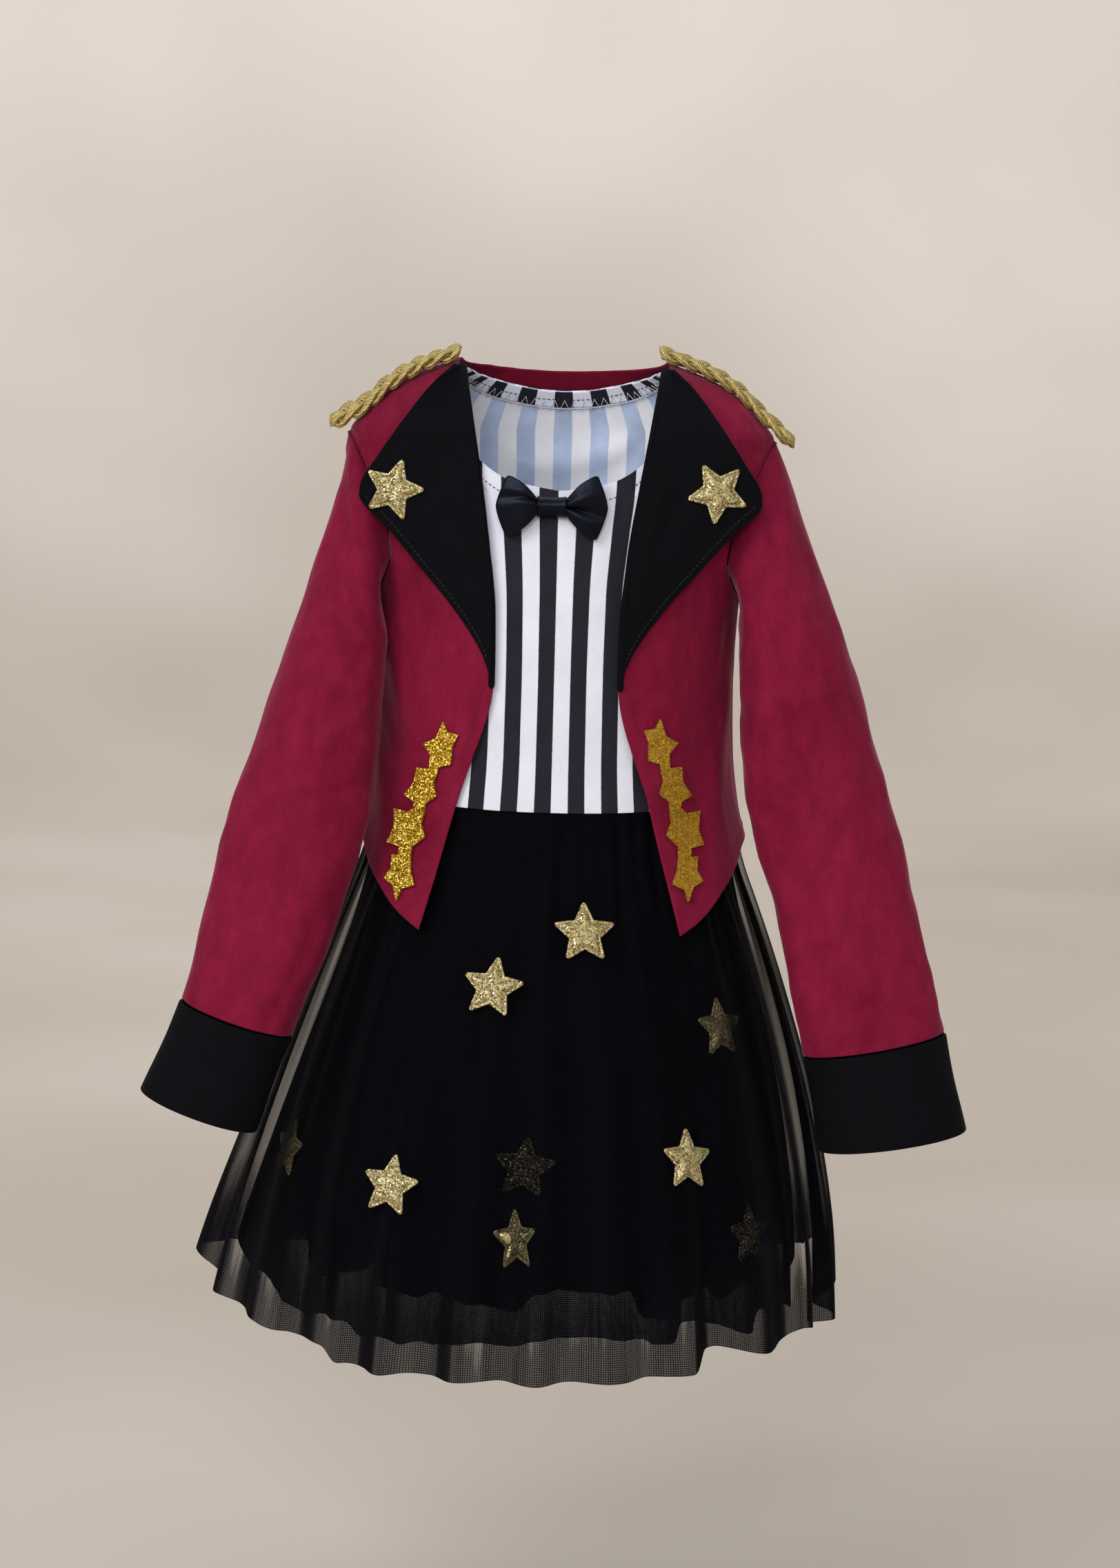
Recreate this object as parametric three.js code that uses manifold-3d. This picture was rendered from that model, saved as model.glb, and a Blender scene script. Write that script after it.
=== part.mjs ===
// A child's ringmaster costume, hollow and filled out as when it is worn: a cropped velvet
// jacket with wide lapels, over a striped sleeveless dress with a gathered tulle skirt.
// Units are millimetres and +Z is up. The front faces -Y. Left and right are the wearer's,
// so the left side is +X. The origin lies midway between the two neck points.
import * as THREE from "three";
import { mergeVertices } from "three/addons/utils/BufferGeometryUtils.js";
import Module from "manifold-3d";

const wasm = await Module();
wasm.setup();

// Driving sizes
const VELVET = 1.6; // wall of the jacket
const JERSEY = 1.2; // wall of the bodice
const NET = 1.0; // wall of each skirt layer, the facing and the bow
const SEAM_GAP = 0.3; // between two pieces that are sewn together
const SEAM_ANGLE = 0.15; // half that gap on the torso, in degrees
const LAPEL_GAP = 0.7; // under the lapels
const SHOULDER_Z = -45; // outer end of the shoulder seam
const ARMPIT_Z = -142;
const JACKET_SIDE_HEM_Z = -283;
const BACK_NECK_DROP = 8.1; // of the jacket's edge behind the neck
const BACK_NECK_CURVE = 1.7; // how late that edge starts to drop from the neck points
const BODICE_INSET = 5; // how far the bodice lies inside the jacket
const WAIST_Z = -261; // waist seam at the side
const WAIST_DROP = 3; // how much lower it is at the centre front and back
const FACING_WIDTH = 11; // neckline hem, turned to the inside
const STAR_SIZE = 18.3; // centre of a padded star to a tip
const FACING_GAP = 1.3; // between the neckline's hem and the bodice, which is stiffer there
const STAR_GAP = 0.5; // under a padded star, where the cloth comes closest to it
const STAR_NOTCH = 0.53; // a padded star's inner corners, as a share of its size
const CHAIN_THICKNESS = 1.4;
const CHAIN_GAP = 1.5; // under the star chain, clear of the folds there
const CHAIN_BAND = 11.95; // height of the bands in which the chain bends with the cloth

// Colours, as seen on the cloth
const BURGUNDY = 0x8c1f3d;
const BLACK_VELVET = 0x0d0e14;
const STRIPED = 0xd8d8e2;
const NET_BLACK = 0x17171c;
const SATIN_BLACK = 0x1b1b22;
const PALE_GOLD = 0xb8a468;
const DEEP_GOLD = 0xb07c10;

// Columns and rows of each wall's grid. A jacket panel's rows are shared out between its side
// seam, armhole and shoulder, so that its armhole has the same points as the sleeve.
const EDGE_ROWS = { side: 5, armhole: 8, shoulder: 3 };
const PANEL_ROWS = EDGE_ROWS.side + EDGE_ROWS.armhole + EDGE_ROWS.shoulder;
const GRID = {
  back: [16, PANEL_ROWS],
  front: [8, PANEL_ROWS],
  lapel: [6, PANEL_ROWS - 6], // its rows meet the front's above the break
  sleeve: [2 * EDGE_ROWS.armhole, 14],
  cuff: [2 * EDGE_ROWS.armhole, 2],
  bodice: [14, 12],
  facing: [28, 1],
  wing: [12, 3],
  knot: [12, 2],
  strand: [1, 14],
};

const radians = (degrees) => (degrees * Math.PI) / 180;
const mix = (a, b, share) => a + (b - a) * share;
const ease = (t) => t * t * (3 - 2 * t);

// Rows of numbers under named columns
function table(columns, rows) {
  const names = columns.split(" ");
  return rows.map((row) => Object.fromEntries(names.map((name, i) => [name, row[i]])));
}

// The slope of a column at each row, kept flat at a peak so that the curve never overshoots
function slopes(rows, key, name) {
  const rise = (a, b) => (b[name] - a[name]) / (b[key] - a[key]);
  const steps = rows.slice(1).map((row, i) => rise(rows[i], row));
  return rows.map((_, i) => {
    if (i === 0) return steps[0];
    if (i === rows.length - 1) return steps[i - 1];
    const [before, after] = [steps[i - 1], steps[i]];
    return before * after <= 0 ? 0 : (2 * before * after) / (before + after);
  });
}

// A smooth curve through a table: curve(value of the key column) gives all the other columns
function curveThrough(rows, key) {
  const names = Object.keys(rows[0]).filter((name) => name !== key);
  const slope = Object.fromEntries(names.map((name) => [name, slopes(rows, key, name)]));
  const rising = rows.at(-1)[key] > rows[0][key];
  return (value) => {
    let i = 0;
    while (i < rows.length - 2 && value > rows[i + 1][key] === rising) i++;
    const [here, next] = [rows[i], rows[i + 1]];
    const span = next[key] - here[key];
    const t = Math.min(1, Math.max(0, (value - here[key]) / span));
    const bend = (name) => slope[name][i] * (1 - t) - slope[name][i + 1] * t;
    return Object.fromEntries(
      names.map((name) => [
        name,
        mix(here[name], next[name], ease(t)) + span * t * (1 - t) * bend(name),
      ]),
    );
  };
}

// Walls of cloth

// A closed wall between two grids of points, place(u, v, lift) being a point of the cloth
// moved out by lift. A round wall joins its last column to its first.
function wall({ place, thickness, grid: [columns, rows], round = false }) {
  const across = round ? columns : columns + 1;
  const half = (rows + 1) * across;
  const layer = (lift) =>
    Array.from({ length: half }, (_, i) =>
      place((i % across) / columns, Math.floor(i / across) / rows, lift),
    );
  const at = (i, j, inside = false) =>
    (inside ? half : 0) + j * across + (round ? i % columns : i);
  const faces = [];
  const quad = (a, b, c, d) => faces.push(a, b, c, a, c, d);
  for (let j = 0; j < rows; j++)
    for (let i = 0; i < columns; i++) {
      quad(at(i, j), at(i + 1, j), at(i + 1, j + 1), at(i, j + 1));
      quad(at(i, j, true), at(i, j + 1, true), at(i + 1, j + 1, true), at(i + 1, j, true));
    }
  for (let i = 0; i < columns; i++) {
    quad(at(i, 0, true), at(i + 1, 0, true), at(i + 1, 0), at(i, 0));
    quad(at(i, rows), at(i + 1, rows), at(i + 1, rows, true), at(i, rows, true));
  }
  if (!round)
    for (let j = 0; j < rows; j++) {
      quad(at(0, j), at(0, j + 1), at(0, j + 1, true), at(0, j, true));
      quad(at(columns, j, true), at(columns, j + 1, true), at(columns, j + 1), at(columns, j));
    }
  return solidFrom([...layer(0), ...layer(-thickness)], faces);
}

const velvet = (place, grid, round) => wall({ place, thickness: VELVET, grid, round });
const thin = (place, grid, round) => wall({ place, thickness: NET, grid, round });

// A geometry from points and faces, turned so that its faces point out
function solidFrom(points, faces) {
  const corner = (i) => new THREE.Vector3(...points[faces[i]]);
  let volume = 0;
  for (let i = 0; i < faces.length; i += 3)
    volume += corner(i).dot(corner(i + 1).cross(corner(i + 2)));
  const geometry = new THREE.BufferGeometry();
  geometry.setAttribute("position", new THREE.Float32BufferAttribute(points.flat(), 3));
  geometry.setIndex(volume < 0 ? faces.toReversed() : faces);
  return geometry;
}

// The way the cloth faces at place(u, v). outward is +1 or -1, whichever makes it face out.
function normalAt(place, outward, u, v) {
  const step = 0.004;
  const along = (du, dv) =>
    new THREE.Vector3(...place(u + du, v + dv)).sub(new THREE.Vector3(...place(u - du, v - dv)));
  return along(step, 0).cross(along(0, step)).normalize().multiplyScalar(outward);
}

// Turns place(u, v) into place(u, v, lift), the lift being along the cloth's own normal
function lifted(place, outward = 1) {
  return (u, v, lift) =>
    new THREE.Vector3(...place(u, v))
      .addScaledVector(normalAt(place, outward, u, v), lift)
      .toArray();
}

// The same cloth on the left side, or mirrored for the right
function onSide(side, place) {
  const sign = side === "left" ? 1 : -1;
  return (...shares) => {
    const [x, y, z] = place(...shares);
    return [sign * x, y, z];
  };
}

// A point inside four edges, each edge giving [first, second] along its own share
function between({ bottom, top, left, right }, u, v) {
  const corners = [bottom(0), bottom(1), top(0), top(1)];
  return [0, 1].map(
    (k) =>
      mix(bottom(u)[k], top(u)[k], v) +
      mix(left(v)[k], right(v)[k], u) -
      mix(mix(corners[0][k], corners[1][k], u), mix(corners[2][k], corners[3][k], u), v),
  );
}

// The shares at which a cloth has a given x and z, found by small corrections
function locate(place, x, z) {
  let [u, v] = [0.5, 0.3];
  const step = 1e-4;
  for (let i = 0; i < 30; i++) {
    const [here, byU, byV] = [place(u, v, 0), place(u + step, v, 0), place(u, v + step, 0)];
    const [xu, zu] = [(byU[0] - here[0]) / step, (byU[2] - here[2]) / step];
    const [xv, zv] = [(byV[0] - here[0]) / step, (byV[2] - here[2]) / step];
    const [dx, dz] = [x - here[0], z - here[2]];
    const area = xu * zv - xv * zu;
    const small = (change) => Math.min(0.05, Math.max(-0.05, change));
    u += small((dx * zv - xv * dz) / area);
    v += small((xu * dz - dx * zu) / area);
  }
  return [u, v];
}

// Soft folds: each one rises by height along a line on the cloth, width being half its breadth.
// Its ends are shares of the cloth's breadth and length, which are the size in millimetres.
function relief(folds, size) {
  return (u, v) =>
    folds.reduce((sum, fold) => {
      const [dx, dy] = [(fold.toU - fold.fromU) * size[0], (fold.toV - fold.fromV) * size[1]];
      const [px, py] = [(u - fold.fromU) * size[0], (v - fold.fromV) * size[1]];
      const length = Math.hypot(dx, dy);
      const along = (px * dx + py * dy) / length;
      const off = (px * dy - py * dx) / length / fold.width;
      const past = Math.max(0, -along, along - length) / fold.width;
      return sum + fold.height * Math.exp(-(off ** 2) - past ** 2);
    }, 0);
}

// The torso form that the jacket's outer surface follows: half its width at each height, and
// how far it stands forward and back of the shoulder seam
const TORSO = curveThrough(
  table("z halfWidth front back", [
    [4, 52, 27, 40],
    [0, 61, 33, 46],
    [-4, 72, 38, 49],
    [-10, 88, 44, 53],
    [-18, 102, 50, 57],
    [-26, 112, 55, 61],
    [-35, 120, 60, 65],
    [-45, 127, 64, 68],
    [-70, 126, 71, 73],
    [-100, 118, 78, 75],
    [-142, 109, 83, 75],
    [-190, 107, 84, 72],
    [-230, 108, 83, 71],
    [-264, 112, 85, 77],
    [-287, 118, 92, 86],
    [-310, 129, 102, 97],
    [-335, 141, 114, 109],
  ]),
  "z",
);

// A point of the torso form. The angle runs from 0 at the centre front to 90 at the left side
// and 180 at the centre back.
function torsoPoint(angle, z) {
  const { halfWidth, front, back } = TORSO(z);
  const turn = radians(angle);
  const depth = Math.cos(turn) > 0 ? front : back;
  return [halfWidth * Math.sin(turn), -depth * Math.cos(turn), z];
}

const torsoNormal = (angle, z) =>
  normalAt((a, h) => torsoPoint(a * 100, h * 100), 1, angle / 100, z / 100);

// The same point moved out along the form's normal
function onTorso(angle, z, lift) {
  return new THREE.Vector3(...torsoPoint(angle, z))
    .addScaledVector(torsoNormal(angle, z), lift)
    .toArray();
}

// The angle at which the torso form is x wide at a height, in front
function angleAt(x, z) {
  return (Math.asin(Math.min(1, x / TORSO(z).halfWidth)) * 180) / Math.PI;
}

// Jacket panels

// The armhole from the shoulder point (turn 0) down the front or the back to the armpit (180)
const ARMHOLE = curveThrough(
  table("turn front back z", [
    [0, 90, 90, SHOULDER_Z],
    [25, 78, 101, -51],
    [55, 67, 110, -67],
    [90, 60, 113, -91],
    [125, 61, 107, -114],
    [155, 72, 98, -133],
    [180, 90, 90, ARMPIT_Z],
  ]),
  "turn",
);
const ARMPIT_SHARE = EDGE_ROWS.side / PANEL_ROWS; // of the way up a panel's side edge
const SHOULDER_SHARE = 1 - EDGE_ROWS.shoulder / PANEL_ROWS;

// A panel's side edge, as angle and height: up the side seam, round the armhole and along the
// shoulder seam to the neck
function sideEdge(face, share) {
  const gap = face === "front" ? -SEAM_ANGLE : SEAM_ANGLE;
  if (share < ARMPIT_SHARE)
    return [90 + gap, mix(JACKET_SIDE_HEM_Z, ARMPIT_Z, share / ARMPIT_SHARE)];
  if (share > SHOULDER_SHARE)
    return [90 + gap, mix(SHOULDER_Z, 0, (share - SHOULDER_SHARE) / (1 - SHOULDER_SHARE))];
  const edge = ARMHOLE((180 * (SHOULDER_SHARE - share)) / (SHOULDER_SHARE - ARMPIT_SHARE));
  return [edge[face] + gap, edge.z];
}

const BACK_FOLDS = relief(
  table("fromU fromV toU toV width height", [
    [0.2, 0.3, 0.36, 0.05, 16, 2.5],
    [0.8, 0.3, 0.66, 0.02, 16, 2.5],
    [0.44, 0.25, 0.42, 0.0, 14, -2],
    [0.6, 0.3, 0.61, 0.0, 14, -2],
  ]),
  [260, 280],
);

function jacketBack(u, v, lift) {
  const across = (share) => mix(90, 270, share);
  const [angle, z] = between(
    {
      left: (share) => sideEdge("back", share),
      right: (share) => {
        const [a, h] = sideEdge("back", share);
        return [360 - a, h];
      },
      bottom: (share) => [across(share), JACKET_SIDE_HEM_Z - 3 * Math.sin(Math.PI * share)],
      top: (share) => [across(share), -BACK_NECK_DROP * Math.sin(Math.PI * share) ** BACK_NECK_CURVE],
    },
    u,
    v,
  );
  return onTorso(angle, z, lift + BACK_FOLDS(u, v));
}

// The front edge from the tip of the hem up to the break, and the roll line up to the neck
const FRONT_EDGE = curveThrough(
  table("v x z", [
    [0, 77, -333],
    [0.1875, 56.5, -259],
    [0.375, 37, -188],
    [0.5, 37.5, -149],
    [0.625, 41, -113],
    [0.8125, 49.5, -57],
    [0.9, 54, -31],
    [1, 59, -4],
  ]),
  "v",
);
const BREAK_SHARE = 0.375;

// The hem from the side seam to the tip
const FRONT_HEM = curveThrough(
  table("u angle z", [
    [0, 90 - SEAM_ANGLE, JACKET_SIDE_HEM_Z],
    [0.22, 78, -287],
    [0.42, 65, -298],
    [0.62, 54, -309],
    [0.85, 41, -325],
    [1, 33.4, -333],
  ]),
  "u",
);

// Largest folds of each front, from the side (u 0) to the front edge (u 1)
const FRONT_FOLDS = {
  right: table("fromU fromV toU toV width height", [
    [0.35, 0.42, 0.8, 0.3, 13, -2.4],
    [0.3, 0.3, 0.6, 0.22, 13, 2.2],
    [0.3, 0.12, 0.55, 0.05, 14, 1.8],
  ]),
  left: table("fromU fromV toU toV width height", [
    [0.4, 0.42, 0.62, 0.14, 15, -2],
    [0.3, 0.22, 0.5, 0.1, 14, 1.8],
  ]),
};

function jacketFront(side) {
  const folds = relief(FRONT_FOLDS[side], [110, 290]);
  const edge = (share) => {
    const { x, z } = FRONT_EDGE(share);
    return [angleAt(x, z), z];
  };
  const edges = {
    left: (share) => sideEdge("front", share),
    right: edge,
    bottom: (share) => Object.values(FRONT_HEM(share)),
    top: (share) => [0, 1].map((k) => mix(sideEdge("front", 1)[k], edge(1)[k], share)),
  };
  return onSide(side, (u, v, lift) => {
    const [angle, z] = between(edges, u, v);
    return onTorso(angle, z, lift + folds(u, v));
  });
}

// Lapels: folded back from the roll line, over the front and the top of the sleeve

const LAPEL_LOWER_EDGE = curveThrough(
  table("u x z", [
    [0, 37, -188],
    [0.12, 44, -170],
    [0.3, 58, -149],
    [0.6, 83, -120],
    [0.85, 105, -96],
    [0.96, 116, -86],
    [1, 119, -81],
  ]),
  "u",
);
const LAPEL_UPPER_EDGE = curveThrough(
  table("v x z", [
    [0, 119, -81],
    [0.06, 118.5, -76],
    [0.3, 108, -57],
    [0.6, 93, -35],
    [0.85, 77, -14],
    [1, 65, -3],
  ]),
  "v",
);
const LAPEL_SPREAD = { x: 30, y: 12 }; // how much flatter its outer edge lies than the body

const lapelSurface = lifted((u, v) => {
  const roll = (share) => Object.values(FRONT_EDGE(mix(BREAK_SHARE, 1, share)));
  const upper = (share) => Object.values(LAPEL_UPPER_EDGE(share));
  const [x, z] = between(
    {
      left: roll,
      right: upper,
      bottom: (share) => Object.values(LAPEL_LOWER_EDGE(share)),
      top: (share) => [0, 1].map((k) => mix(roll(1)[k], upper(1)[k], share)),
    },
    u,
    v,
  );
  const { halfWidth, front } = TORSO(z);
  const spread = Math.max(0, u) ** 2;
  const across = x / (halfWidth + LAPEL_SPREAD.x * spread);
  return [x, -(front + LAPEL_SPREAD.y * spread) * Math.sqrt(1 - across ** 2), z];
});

// The lapel's outer surface lies one wall and a gap above the front
const lapel = (side) => onSide(side, (u, v, lift) => lapelSurface(u, v, lift + VELVET + LAPEL_GAP));

// Sleeves

// Rings from the armhole to the cuff seam: the outer and the inner point in the front view, and
// how far the ring has left the armhole's shape for an oval
const SLEEVE_RINGS = {
  right: table("v outerX outerZ innerX innerZ away", [
    [0, 127, -45, 109, -142, 0],
    [0.05, 128, -60, 107, -149, 0.4],
    [0.13, 133, -84, 103, -157, 0.75],
    [0.21, 142, -113, 101, -166, 0.95],
    [0.3, 151, -141, 101, -178, 1],
    [0.4, 163, -179, 102.5, -202, 1],
    [0.51, 176, -222, 105, -238, 1],
    [0.62, 188, -259, 109, -269, 1],
    [0.73, 197, -293, 116, -301, 1],
    [0.86, 206, -335, 130, -348, 1],
    [1, 215.5, -378, 150, -398, 1],
  ]),
  left: table("v outerX outerZ innerX innerZ away", [
    [0, 127, -45, 109, -142, 0],
    [0.05, 133, -58, 109, -150, 0.4],
    [0.13, 142, -82, 108, -160, 0.75],
    [0.21, 152, -109, 108, -170, 0.95],
    [0.3, 163, -139, 109, -183, 1],
    [0.4, 177, -177, 110, -207, 1],
    [0.51, 190, -220, 112, -240, 1],
    [0.62, 201, -257, 118, -271, 1],
    [0.73, 212, -297, 130, -308, 1],
    [0.86, 223, -342, 141, -354, 1],
    [1, 234, -386, 151.5, -402, 1],
  ]),
};
const CUFF_RINGS = {
  right: table("v outerX outerZ innerX innerZ", [
    [0, 216.5, -379, 150, -399],
    [1, 238, -431, 169, -453.5],
  ]),
  left: table("v outerX outerZ innerX innerZ", [
    [0, 235, -387, 151.5, -403],
    [1, 248, -442, 161.5, -456],
  ]),
};
const BODY_CLEARANCE = 3.2; // between a sleeve and the jacket's side

// The arms lean forward: the middle of a ring's depth at a height
const armLine = (z) => -10 + 0.236 * (z - SHOULDER_Z);

// Half of a sleeve's depth, front to back, at the height of a ring's middle
const ARM_DEPTH = curveThrough(
  table("z half", [
    [-90, 33],
    [-190, 32],
    [-280, 28],
    [-390, 27],
    [-460, 29],
  ]),
  "z",
);

// A point of an oval ring: turn 0 is its outer point, 0.25 its front and 0.5 its inner point
function ringPoint({ outerX, outerZ, innerX, innerZ }, turn) {
  const { half } = ARM_DEPTH((outerZ + innerZ) / 2);
  const share = (1 + Math.cos(2 * Math.PI * turn)) / 2;
  const z = mix(innerZ, outerZ, share);
  return [mix(innerX, outerX, share), armLine(z) - half * Math.sin(2 * Math.PI * turn), z];
}

// Where the armhole is at a turn, as an angle and a height
function armholeAt(turn) {
  const whole = ((turn % 1) + 1) % 1;
  const edge = ARMHOLE(360 * Math.min(whole, 1 - whole));
  return [whole <= 0.5 ? edge.front : edge.back, edge.z];
}

// The sleeve's first ring: the armhole's edge, moved clear of the panels, and the way that
// leads from the panels into the armhole there
function armholeEdge(turn) {
  const at = (t) => new THREE.Vector3(...torsoPoint(...armholeAt(t)));
  const out = torsoNormal(...armholeAt(turn));
  const away = out.clone().cross(at(turn + 0.01).sub(at(turn - 0.01))).normalize();
  const point = at(turn).addScaledVector(away, SEAM_GAP).addScaledVector(out, SEAM_GAP);
  return { point: point.toArray(), away };
}

// Moves a point out of the torso form, so that cloth beside the body is pressed flat on it
function clearOfTorso([x, y, z], clearance) {
  const { halfWidth, front, back } = TORSO(z);
  const depth = y < 0 ? front : back;
  const reach = Math.hypot(x / (halfWidth + clearance), y / (depth + clearance));
  return reach < 1 ? [x / reach, y / reach, z] : [x, y, z];
}

// Largest folds of each sleeve: u runs from the outer side (0) by the front (0.25) to the
// inner side (0.5) and the back, and v from the shoulder to the cuff
const SLEEVE_FOLDS = {
  right: table("fromU fromV toU toV width height", [
    [0.06, 0.12, 0.24, 0.2, 10, -1.8],
    [0.3, 0.32, 0.34, 0.6, 12, -1.5],
    [0.18, 0.45, 0.2, 0.9, 14, 1.5],
    [0.34, 0.72, 0.3, 0.95, 10, 1.3],
    [0.64, 0.4, 0.72, 0.6, 13, -1.2],
    [0.85, 0.5, 0.8, 0.9, 13, 1.2],
  ]),
  left: table("fromU fromV toU toV width height", [
    [0.3, 0.2, 0.28, 0.5, 10, -3.5],
    [0.22, 0.2, 0.2, 0.6, 13, 2.5],
    [0.38, 0.6, 0.33, 0.98, 10, -3.5],
    [0.14, 0.6, 0.18, 0.95, 14, -2.2],
    [0.66, 0.4, 0.72, 0.6, 13, -2.5],
    [0.86, 0.4, 0.8, 0.85, 13, 2.2],
  ]),
};

function sleeve(side) {
  const rings = curveThrough(SLEEVE_RINGS[side], "v");
  const folds = relief(SLEEVE_FOLDS[side], [190, 400]);
  const tube = (u, v) => {
    const ring = rings(v);
    const oval = ringPoint(ring, u);
    const point = armholeEdge(u).point.map((value, k) => mix(value, oval[k], ring.away));
    return clearOfTorso(point, BODY_CLEARANCE * Math.min(1, Math.max(0, v * GRID.sleeve[1])));
  };
  return onSide(side, (u, v, lift) => {
    const out = normalAt(tube, 1, u, v);
    // The wall's end at the armhole is cut square to the panels, so that it never enters them
    const { away } = armholeEdge(u);
    const atSeam = Math.max(0, 1 - v * GRID.sleeve[1]);
    out.addScaledVector(away, -atSeam * Math.max(0, out.dot(away))).normalize();
    const rise = lift + folds(u, v) * ease(Math.min(1, v * 6));
    return new THREE.Vector3(...tube(u, v)).addScaledVector(out, rise).toArray();
  });
}

function cuff(side) {
  const rings = curveThrough(CUFF_RINGS[side], "v");
  return onSide(side, lifted((u, v) => ringPoint(rings(v), u)));
}

// Dress bodice: a front and a back, sleeveless, with a scooped neck. The tables give the torso
// form's angle and height, and the cloth lies inside it.

const BODICE_ARMHOLE = curveThrough(
  table("share front back z", [
    [0, 90, 90, -126],
    [0.2, 72, 108, -114],
    [0.45, 60, 119, -88],
    [0.7, 60, 119, -60],
    [0.88, 72, 107, -38],
    [1, 90, 90, -25],
  ]),
  "share",
);
const NECK_SEAM_Z = -1;
const FRONT_NECK = curveThrough(
  table("u angle z", [
    [0, 90 - SEAM_ANGLE, NECK_SEAM_Z],
    [0.1, 62, -6],
    [0.2, 46, -15],
    [0.3, 31, -36],
    [0.38, 23, -57],
    [0.43, 14, -68.5],
    [0.5, 0, -74],
  ]),
  "u",
);
const BACK_NECK = curveThrough(
  table("u angle z", [
    [0, 90 + SEAM_ANGLE, NECK_SEAM_Z],
    [0.15, 115, -2],
    [0.3, 141, -7],
    [0.4, 160, -14],
    [0.46, 172, -17.6],
    [0.5, 180, -18.4],
  ]),
  "u",
);

// The waist seam's height, lower at the centre front and back
const waistZ = (angle) => WAIST_Z - WAIST_DROP * Math.cos(radians(angle)) ** 2;

function bodiceSide(face, share) {
  const gap = face === "front" ? -SEAM_ANGLE : SEAM_ANGLE;
  const [armpit, shoulder] = [0.4, 0.8];
  if (share < armpit) return [90 + gap, mix(WAIST_Z, BODICE_ARMHOLE(0).z, share / armpit)];
  if (share > shoulder)
    return [90 + gap, mix(BODICE_ARMHOLE(1).z, NECK_SEAM_Z, (share - shoulder) / (1 - shoulder))];
  const edge = BODICE_ARMHOLE((share - armpit) / (shoulder - armpit));
  return [edge[face] + gap, edge.z];
}

function bodice(face) {
  const neck = face === "front" ? FRONT_NECK : BACK_NECK;
  const middle = face === "front" ? 0 : 180;
  const flip = ([angle, z]) => [2 * middle - angle, z];
  const edges = {
    left: (share) => bodiceSide(face, share),
    right: (share) => flip(bodiceSide(face, share)),
    bottom: (share) => {
      const angle = mix(bodiceSide(face, 0)[0], flip(bodiceSide(face, 0))[0], share);
      return [angle, waistZ(angle)];
    },
    top: (share) => {
      const { angle, z } = neck(Math.min(share, 1 - share));
      return share <= 0.5 ? [angle, z] : flip([angle, z]);
    },
  };
  return (u, v, lift) => {
    const [angle, z] = between(edges, u, v);
    const [x, y, height] = onTorso(angle, z, lift - BODICE_INSET);
    return [x, y, Math.max(height, waistZ(angle))];
  };
}

// The neckline's hem, turned in: one ring that follows the inside of both panels
function neckFacing(u, v, lift) {
  const onFront = u < 0.5;
  const share = onFront ? 1 - 2 * u : 2 * u - 1;
  const place = bodice(onFront ? "front" : "back");
  const step = 0.02;
  const [edge, below] = [place(share, 1, 0), place(share, 1 - step, 0)];
  const reach = Math.hypot(...edge.map((value, k) => value - below[k])) / step;
  return place(share, 1 - ((1 - v) * FACING_WIDTH) / reach, lift - JERSEY - FACING_GAP);
}

// Bow at the centre of the neckline: two folded loops and the band round their middle

const BOW = { x: -5, y: -76.4, z: -84, halfWidth: 33, start: 4, bulge: 6.5 };
const BOW_KNOT = { halfWidth: 8.3, halfDepth: 5.2, halfHeight: 5.4 };

// A wing's half height and half depth from the knot (share 0), which holds it by its top and
// bottom edges, to its outer fold (1)
const BOW_WING = curveThrough(
  table("share halfHeight halfDepth", [
    [0, 4.3, 2],
    [0.2, 4.8, 2.6],
    [0.36, 8.5, 3.6],
    [0.53, 12.6, 4.4],
    [0.75, 16, 3.8],
    [0.95, 18, 2],
    [1, 17.2, 1],
  ]),
  "share",
);

// A wing is one band: along its back, round the outer fold and back along its front
function bowWing(side) {
  const sign = side === "left" ? 1 : -1;
  return lifted((u, v) => {
    const share = Math.min(1, 1 - Math.abs(2 * u - 1));
    const { halfHeight, halfDepth } = BOW_WING(share);
    const front = u > 0.5 ? -1 : 1;
    const height = 2 * v - 1;
    const bulge = BOW.bulge * share ** 3 * (1 - height * height);
    return [
      BOW.x + sign * (BOW.start + share * (BOW.halfWidth - BOW.start - BOW.bulge) + bulge),
      BOW.y + front * halfDepth * (1 - 0.25 * height * height),
      BOW.z + height * halfHeight,
    ];
  }, sign);
}

const bowKnot = lifted((u, v) => {
  const turn = 2 * Math.PI * u;
  const pinch = 1 - 0.1 * Math.sin(Math.PI * v);
  return [
    BOW.x + mix(-BOW_KNOT.halfWidth, BOW_KNOT.halfWidth, v),
    BOW.y - BOW_KNOT.halfDepth * pinch * Math.sin(turn),
    BOW.z + BOW_KNOT.halfHeight * pinch * Math.cos(turn),
  ];
}, -1);

// Skirt: a gathered outer net, a second net under it and an opaque lining

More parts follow.
